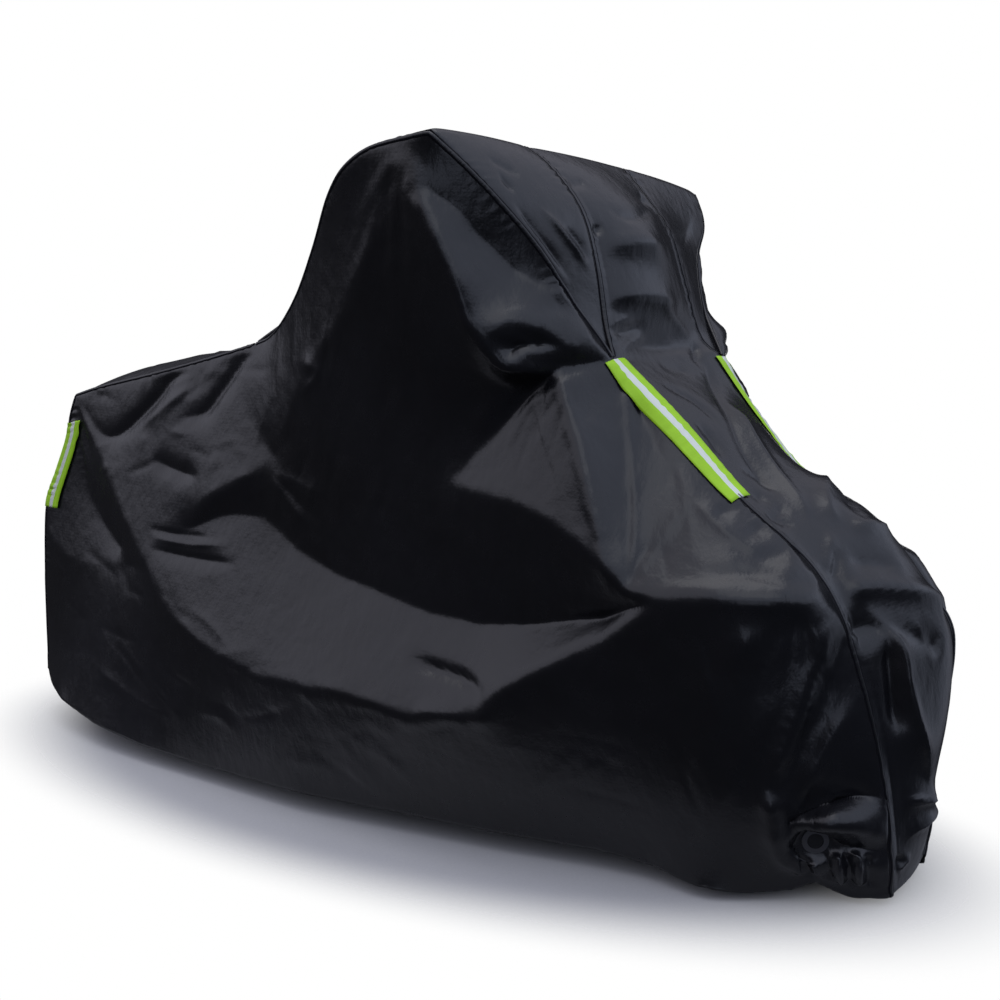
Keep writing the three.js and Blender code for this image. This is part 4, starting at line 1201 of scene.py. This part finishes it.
def rear_tape_grid(panel):
    """From the rear edge forwards, down the rear of a panel."""
    return panel[:FINER["seat"] + 1, rear_from:rear_to + 1].transpose(1, 0, 2)


rear_right = tape("tape_ribbon_rear_right", rear_tape_grid(side_right), REAR_TAPE_LIFT)
rear_left = tape("tape_ribbon_rear_left", rear_tape_grid(side_left), REAR_TAPE_LIFT)
print("tapes", tape_right.name, tape_left.name, rear_right.name, rear_left.name)

# %% [markdown]
# ## Materials
# The cloth is a tight plain weave of dark polyester with a thin coating on its back, so it
# has a soft, cool sheen where it turns to the light and is nearly black elsewhere. Fine
# crinkles from folding in its bag stay in it.

# %% Node helpers
class Nodes:
    """A few words for building the nodes of a material or a world."""

    def __init__(self, owner):
        self.owner = owner
        owner.use_nodes = True
        self.tree = owner.node_tree
        self.shader = self.tree.nodes.get("Principled BSDF")

    def add(self, kind, links=(), **values):
        node = self.tree.nodes.new(kind)
        for key, value in values.items():
            setattr(node, key, value)
        for socket, source in dict(links).items():
            self.link(source, node.inputs[socket])
        return node

    def link(self, source, socket):
        if hasattr(source, "is_output") or hasattr(source, "links"):
            self.tree.links.new(source, socket)
        else:
            socket.default_value = source

    def maths(self, operation, a, b=0.0):
        return self.add("ShaderNodeMath", {0: a, 1: b}, operation=operation).outputs[0]

    def blend(self, factor, first, second):
        """The first colour where the factor is 0, the second where it is 1."""
        node = self.add("ShaderNodeMix", {0: factor}, data_type="RGBA")
        for socket, source in zip(node.inputs[6:8], (first, second)):
            self.link((*source, 1.0) if isinstance(source, tuple) else source, socket)
        return node.outputs[2]

    def between(self, value, low, high):
        """A value from 0 to 1, spread between two others."""
        return self.add("ShaderNodeMapRange",
                        {"Value": value, "To Min": low, "To Max": high}).outputs[0]

    def ramp(self, factor, *stops):
        node = self.add("ShaderNodeValToRGB", {0: factor})
        elements = node.color_ramp.elements
        while len(elements) < len(stops):
            elements.new(0.5)
        for element, (place, colour) in zip(elements, stops):
            element.position = place
            element.color = (*colour, 1.0)
        return node.outputs[0]

    def noise(self, vector, scale, detail=3.0, roughness=0.55):
        return self.add("ShaderNodeTexNoise", {"Vector": vector, "Scale": scale,
                                               "Detail": detail,
                                               "Roughness": roughness}).outputs[0]

    def squeezed(self, vector, factors, turn=0.0):
        return self.add("ShaderNodeMapping", {"Vector": vector, "Scale": factors,
                                              "Rotation": (0, 0, math.radians(turn))}).outputs[0]

    def bump(self, height, distance, strength=1.0, under=None):
        node = self.add("ShaderNodeBump", {"Height": height, "Distance": distance,
                                           "Strength": strength})
        if under is not None:
            self.link(under, node.inputs["Normal"])
        return node.outputs[0]

    def finish(self, **sockets):
        for name, source in sockets.items():
            self.link(source, self.shader.inputs[name.replace("_", " ")])
        return self.owner


def new_look(name):
    return Nodes(bpy.data.materials.new(name))


# %% Cloth
CLOTH_DARK = (0.0042, 0.0042, 0.0050)
CLOTH_PALE = (0.0072, 0.0073, 0.0092)
CLOTH_ROUGH = 0.25
CLOTH_SPECULAR = 0.42
WEAVE_PITCH = 0.0011
ROUGH_SPREAD = (-0.05, 0.07)
# the relief of the cloth, finest first: the depth in metres and the strength of each part
CLOTH_RELIEF = {"weave": (0.00006, 0.6), "grain": (0.00025, 0.6),
                "crinkle": (0.0017, 0.6), "crumple": (0.0045, 0.6)}


def cloth_material(name):
    nodes = new_look(name)
    uv = nodes.add("ShaderNodeUVMap", uv_map="cloth").outputs[0]
    place = nodes.add("ShaderNodeTexCoord").outputs["Object"]
    tone = nodes.ramp(nodes.noise(place, 3.0, 4), (0.35, CLOTH_DARK), (0.7, CLOTH_PALE))
    threads = [nodes.add("ShaderNodeTexWave", {"Vector": uv, "Scale": 1 / (WEAVE_PITCH * 20),
                                               "Distortion": 0.4},
                         wave_type="BANDS", bands_direction=way).outputs[1] for way in "XY"]
    heights = {
        "weave": nodes.maths("MULTIPLY", *threads),
        "grain": nodes.noise(place, 240.0, 2),
        "crinkle": nodes.noise(nodes.squeezed(place, (1.0, 1.0, 0.55)), 55.0, 4, 0.6),
        "crumple": nodes.noise(nodes.squeezed(place, (1.0, 1.0, 0.7), 30), 16.0, 3, 0.5),
    }
    normal = None
    for part, (depth, strength) in CLOTH_RELIEF.items():
        normal = nodes.bump(heights[part], depth, strength, normal)
    rough = nodes.between(nodes.noise(place, 24.0, 5),
                          *(CLOTH_ROUGH + change for change in ROUGH_SPREAD))
    return nodes.finish(Base_Color=tone, Roughness=rough, Specular_IOR_Level=CLOTH_SPECULAR,
                        Normal=normal)


cloth = cloth_material("coated_cloth")

# %% [markdown]
# The seam bands are the same cloth with two rows of stitches. A stitch is about 3 mm long
# and sinks the cloth at its ends.

# %% Seams with two rows of stitches
STITCH_PITCH = 0.0034
STITCH_ROWS = (0.0030, 0.0100)
STITCH_HALF = 0.0011
STITCH_SHARE = 0.68  # of the pitch; the rest is the gap to the next stitch
THREAD = (0.010, 0.010, 0.013)
SEAM_ROUGHER = 0.04


def seam_material(name):
    nodes = new_look(name)
    uv = nodes.add("ShaderNodeUVMap", uv_map="cloth").outputs[0]
    place = nodes.add("ShaderNodeTexCoord").outputs["Object"]
    parts = nodes.add("ShaderNodeSeparateXYZ", {0: uv})
    run, across = parts.outputs[0], parts.outputs[1]
    phase = nodes.maths("FRACT", nodes.maths("DIVIDE", run, STITCH_PITCH))
    dash = nodes.maths("LESS_THAN", phase, STITCH_SHARE)
    rows = None
    for row in STITCH_ROWS:
        off = nodes.maths("ABSOLUTE", nodes.maths("SUBTRACT", across, row))
        near = nodes.maths("LESS_THAN", off, STITCH_HALF)
        rows = near if rows is None else nodes.maths("MAXIMUM", rows, near)
    stitch = nodes.maths("MULTIPLY", rows, dash)
    groove = nodes.maths("SUBTRACT", rows, stitch)
    puckers = nodes.noise(nodes.squeezed(uv, (1.0, 0.25, 1.0)), 140.0, 2)
    relief = nodes.maths("SUBTRACT", stitch, nodes.maths("MULTIPLY", groove, 1.5))
    normal = nodes.bump(relief, 0.0007, 0.9)
    normal = nodes.bump(puckers, 0.0016, 0.7, normal)
    normal = nodes.bump(nodes.noise(place, 60.0, 3), 0.0008, 0.5, normal)
    # the rows of stitches get no sheen, so they read dark: painted shade of the grooves that the
    # stitches sink
    sheen_with_painted_shade_rows = nodes.maths("MULTIPLY", nodes.maths("SUBTRACT", 1.0, rows), CLOTH_SPECULAR)
    return nodes.finish(Base_Color=nodes.blend(stitch, CLOTH_DARK, THREAD),
                        Roughness=CLOTH_ROUGH + SEAM_ROUGHER,
                        Specular_IOR_Level=sheen_with_painted_shade_rows, Normal=normal)


seam_cloth = seam_material("seam_cloth")

# %% Reflective tape, and eyelet metal darkened with painted shade
TAPE_LIME = (0.33, 0.62, 0.012)
TAPE_SILVER = (0.62, 0.66, 0.60)
STRIPE = (0.0195, 0.0325)
TAPE_ROUGH = (0.6, 0.34)  # the lime cloth, and the stripe
# the eyelet metal is painted dark: painted shade of the recess under the flap over the rings
METAL_DARK_PAINTED_SHADE = (0.13, 0.13, 0.14, 1.0)
METAL_ROUGH = (0.22, 0.42)


def tape_material(name):
    nodes = new_look(name)
    uv = nodes.add("ShaderNodeUVMap", uv_map="cloth").outputs[0]
    parts = nodes.add("ShaderNodeSeparateXYZ", {0: uv})
    across = parts.outputs[1]
    inside = nodes.maths("MULTIPLY", nodes.maths("GREATER_THAN", across, STRIPE[0]),
                         nodes.maths("LESS_THAN", across, STRIPE[1]))
    ribs = nodes.add("ShaderNodeTexWave", {"Vector": uv, "Scale": 60.0}, wave_type="BANDS",
                     bands_direction="X")
    grime = nodes.noise(uv, 40.0, 4)
    lime = nodes.ramp(grime, (0.3, tuple(0.9 * c for c in TAPE_LIME)), (0.7, TAPE_LIME))
    beads = nodes.noise(uv, 1800.0, 1)
    height = nodes.maths("ADD", nodes.maths("MULTIPLY", inside, beads),
                         nodes.maths("MULTIPLY", ribs.outputs[1], 0.4))
    return nodes.finish(Base_Color=nodes.blend(inside, lime, TAPE_SILVER),
                        Roughness=nodes.between(inside, *TAPE_ROUGH),
                        Specular_IOR_Level=0.4, Normal=nodes.bump(height, 0.0002, 0.6))


tape_look = tape_material("reflective_tape_look")


def metal_material(name):
    nodes = new_look(name)
    place = nodes.add("ShaderNodeTexCoord").outputs["Object"]
    rough = nodes.between(nodes.noise(place, 900.0, 3), *METAL_ROUGH)
    scratches = nodes.noise(nodes.squeezed(place, (400.0, 400.0, 2400.0)), 1.0, 2)
    return nodes.finish(Base_Color=METAL_DARK_PAINTED_SHADE, Metallic=1.0, Roughness=rough,
                        Normal=nodes.bump(scratches, 0.0001, 0.3))


metal = metal_material("eyelet_metal_painted_shade")

# %% [markdown]
# ## Hand every piece over to the frame
# Each piece rides on the one body, says which imported solid it stands for, and which finish
# it takes. The two eyelet rings keep the imported shape and get a metal painted dark: painted
# shade of the recess under the flap that hangs over them.

# %% Pieces
cloth_sheets = [panel_right, panel_left, strip_sheet, gusset_sheet_right, gusset_sheet_left,
                tail_sheet]
tapes = [tape_right, tape_left, rear_right, rear_left]
REPLACED = {
    "panel_right": ("side_panel_right", "lock_corner_right"),
    "panel_left": ("side_panel_left", "lock_corner_left"),
    "strip_sheet": ("middle_strip",),
    "gusset_sheet_right": ("gusset_right",),
    "gusset_sheet_left": ("gusset_left",),
    "tail_sheet": ("tail_panel",),
    "tape_ribbon_front_right": ("tape_front_right",),
    "tape_ribbon_front_left": ("tape_front_left",),
    "tape_ribbon_rear_right": ("tape_rear_right",),
    "tape_ribbon_rear_left": ("tape_rear_left",),
}
for piece in cloth_sheets + seam_pieces + tapes:
    is_tape, is_seam = piece in tapes, piece in seam_pieces
    piece.data.materials.append(tape_look if is_tape else seam_cloth if is_seam else cloth)
    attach(piece, "root")
    if piece.name in REPLACED:
        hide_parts(*REPLACED[piece.name])
# the rings take the metal painted dark, whose colour paints in the shade under the flap
for node in ("lock_eyelet_right", "lock_eyelet_left"):
    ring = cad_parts[node]
    for material_slot in ring.material_slots:
        material_slot.material = metal

# %% [markdown]

# %% [markdown]
# ## Studio
# Shiny dark cloth shows what it mirrors, so the light is a tent: the upper half of the room
# is bright and the lower half is dark. Cloth that turns up even a little mirrors the tent,
# and cloth that hangs straight mirrors the dark room. The tent comes lower behind the
# motorcycle, a paler wall stands far ahead, and a narrow light at the front right gleams on
# the ridges. A soft lamp above and a weaker one at the front light the floor and the tapes.
# The pale floor is small and fades away, so that the skirt of the cover stays dark.

# %% Floor
GROUND = -HANDLEBAR_REST[2] * MM
FLOOR_MIDDLE = (-0.36, 0.0)
FLOOR_HALF = (1.38, 0.66)
FLOOR_FADE = (0.66, 1.0)
FLOOR_DARK, FLOOR_PALE = (0.42, 0.42, 0.42), (0.46, 0.46, 0.46)


def make_floor():
    bpy.ops.mesh.primitive_plane_add(size=2, location=(*FLOOR_MIDDLE, GROUND))
    floor = bpy.context.object
    floor.name = "floor"
    floor.scale = (*FLOOR_HALF, 1)
    bpy.ops.object.transform_apply(location=True, rotation=False, scale=True)
    nodes = new_look("floor_look")
    place = nodes.add("ShaderNodeTexCoord").outputs["Object"]
    parts = nodes.add("ShaderNodeSeparateXYZ", {0: place})
    spread = []
    for axis in (0, 1):
        off = nodes.maths("SUBTRACT", parts.outputs[axis], FLOOR_MIDDLE[axis])
        spread.append(nodes.maths("POWER", nodes.maths("DIVIDE", off, FLOOR_HALF[axis]), 2.0))
    far = nodes.maths("SQRT", nodes.maths("ADD", *spread))
    fade = nodes.add("ShaderNodeMapRange", {"Value": far, "From Min": FLOOR_FADE[0],
                                            "From Max": FLOOR_FADE[1]},
                     interpolation_type="SMOOTHSTEP")
    clear = nodes.add("ShaderNodeBsdfTransparent")
    mix = nodes.add("ShaderNodeMixShader", {0: fade.outputs[0], 1: nodes.shader.outputs[0],
                                            2: clear.outputs[0]})
    nodes.link(mix.outputs[0], nodes.tree.nodes["Material Output"].inputs[0])
    grain = nodes.noise(place, 300.0, 2)
    tone = nodes.ramp(grain, (0.2, FLOOR_DARK), (0.8, FLOOR_PALE))
    nodes.finish(Base_Color=tone, Roughness=0.9, Specular_IOR_Level=0.1)
    floor.data.materials.append(nodes.owner)


make_floor()
print("floor at", round(GROUND, 3))

# %% Lights and backdrop
LAMPS = table("name place aim size power",
    ("key", (1.9, -1.9, 2.3), (-0.2, 0.0, -0.7), (2.4, 2.0), 9),
    ("top", (-0.5, 0.0, 2.6), (-0.5, 0.0, -0.6), (3.6, 2.8), 36))
SKY_LOW, SKY_HIGH = 0.10, 0.36  # how high a way leads up where the light tent starts
SKY_REAR_END = {"from": 0.3, "lower": 0.22}  # the tent comes lower behind the motorcycle
SKY_AWAY = {"from": 0.4, "lower": -0.5}  # and less low on the side that the camera faces
SKY_LIGHT = 1.1
SKY_FAR = {"from": 0.05, "dimmer": 0.75}  # the tent is dimmer towards the backdrop
SKY_REAR, SKY_FRONT = (0.92, 0.92, 1.08), (0.80, 0.88, 1.12)
# a paler wall far ahead of the motorcycle, which its front wheel end mirrors
SKY_AHEAD = {"way": (0.57, 0.82), "from": 0.8, "rise": 2.6, "light": 0.42}
# a narrow upright light at the front right, which only the ridges catch
STRIP_LIGHT = {"way": (0.62, -0.785), "from": 0.98, "rise": 90.0, "light": 0.9}
ROOM_DARK = 0.055
BACKDROP_AWAY = (-0.52, 0.85)  # the way from the camera to the backdrop, seen from above
BACKDROP_NEAR, BACKDROP_TOP = 0.95, 0.0
SKY_TURN = {"ahead": 0.2, "rise": 1.3}  # where the rear colour turns to the front one


def make_lamp(row):
    data = bpy.data.lights.new(row["name"], "AREA")
    data.shape = "RECTANGLE"
    data.size, data.size_y = row["size"]
    data.energy = row["power"]
    lamp = bpy.data.objects.new(row["name"], data)
    lamp.location = row["place"]
    aim = Vector(row["aim"]) - Vector(row["place"])
    lamp.rotation_euler = aim.to_track_quat("-Z", "Y").to_euler()
    bpy.context.scene.collection.objects.link(lamp)


for row in LAMPS:
    make_lamp(row)


def make_world():
    world = bpy.data.worlds.new("studio")
    bpy.context.scene.world = world
    nodes = Nodes(world)
    nodes.tree.nodes.clear()
    maths = nodes.maths
    path = nodes.add("ShaderNodeLightPath")
    ray = nodes.add("ShaderNodeTexCoord").outputs["Generated"]
    forward, left, up = nodes.add("ShaderNodeSeparateXYZ", {0: ray}).outputs

    def along(way):
        """How far a ray leads one way, seen from above."""
        return maths("ADD", maths("MULTIPLY", forward, way[0]), maths("MULTIPLY", left, way[1]))

    def clamped(value, most):
        return maths("MINIMUM", maths("MAXIMUM", value, 0.0), most)

    def lit_patch(row):
        past = maths("SUBTRACT", along(row["way"]), row["from"])
        return clamped(maths("MULTIPLY", past, row["rise"]), row["light"])

    toward = along(BACKDROP_AWAY)
    on_backdrop = maths("MULTIPLY", maths("GREATER_THAN", toward, BACKDROP_NEAR),
                        maths("LESS_THAN", up, BACKDROP_TOP))
    height = up
    rearward = maths("MULTIPLY", forward, -1.0)
    for way, row in ((rearward, SKY_REAR_END), (toward, SKY_AWAY)):
        past = maths("MAXIMUM", maths("SUBTRACT", way, row["from"]), 0.0)
        height = maths("ADD", height, maths("MULTIPLY", past, row["lower"]))
    tent = nodes.add("ShaderNodeMapRange", {"Value": height, "From Min": SKY_LOW,
                                            "From Max": SKY_HIGH, "To Min": ROOM_DARK,
                                            "To Max": SKY_LIGHT},
                     interpolation_type="SMOOTHSTEP")
    far_side = clamped(maths("SUBTRACT", toward, SKY_FAR["from"]), 1.0)
    kept = maths("SUBTRACT", 1.0, maths("MULTIPLY", far_side, SKY_FAR["dimmer"]))
    glow = maths("MULTIPLY", tent.outputs[0], kept)
    for row in (SKY_AHEAD, STRIP_LIGHT):
        glow = maths("ADD", glow, lit_patch(row))
    turn = maths("MULTIPLY", maths("ADD", forward, SKY_TURN["ahead"]), SKY_TURN["rise"])
    dim = nodes.add("ShaderNodeBackground", {0: nodes.blend(turn, SKY_REAR, SKY_FRONT), 1: glow})
    bright = nodes.add("ShaderNodeBackground", {0: (1, 1, 1, 1), 1: 1.0})
    mirrored = maths("MAXIMUM", path.outputs["Is Glossy Ray"],
                     path.outputs["Is Transmission Ray"])
    white = maths("MAXIMUM", path.outputs["Is Camera Ray"],
                  maths("MULTIPLY", mirrored, on_backdrop))
    mix = nodes.add("ShaderNodeMixShader", {0: white, 1: dim.outputs[0], 2: bright.outputs[0]})
    nodes.add("ShaderNodeOutputWorld", {0: mix.outputs[0]})


make_world()
bpy.context.scene.view_settings.view_transform = "Standard"
print("lamps", [row["name"] for row in LAMPS])
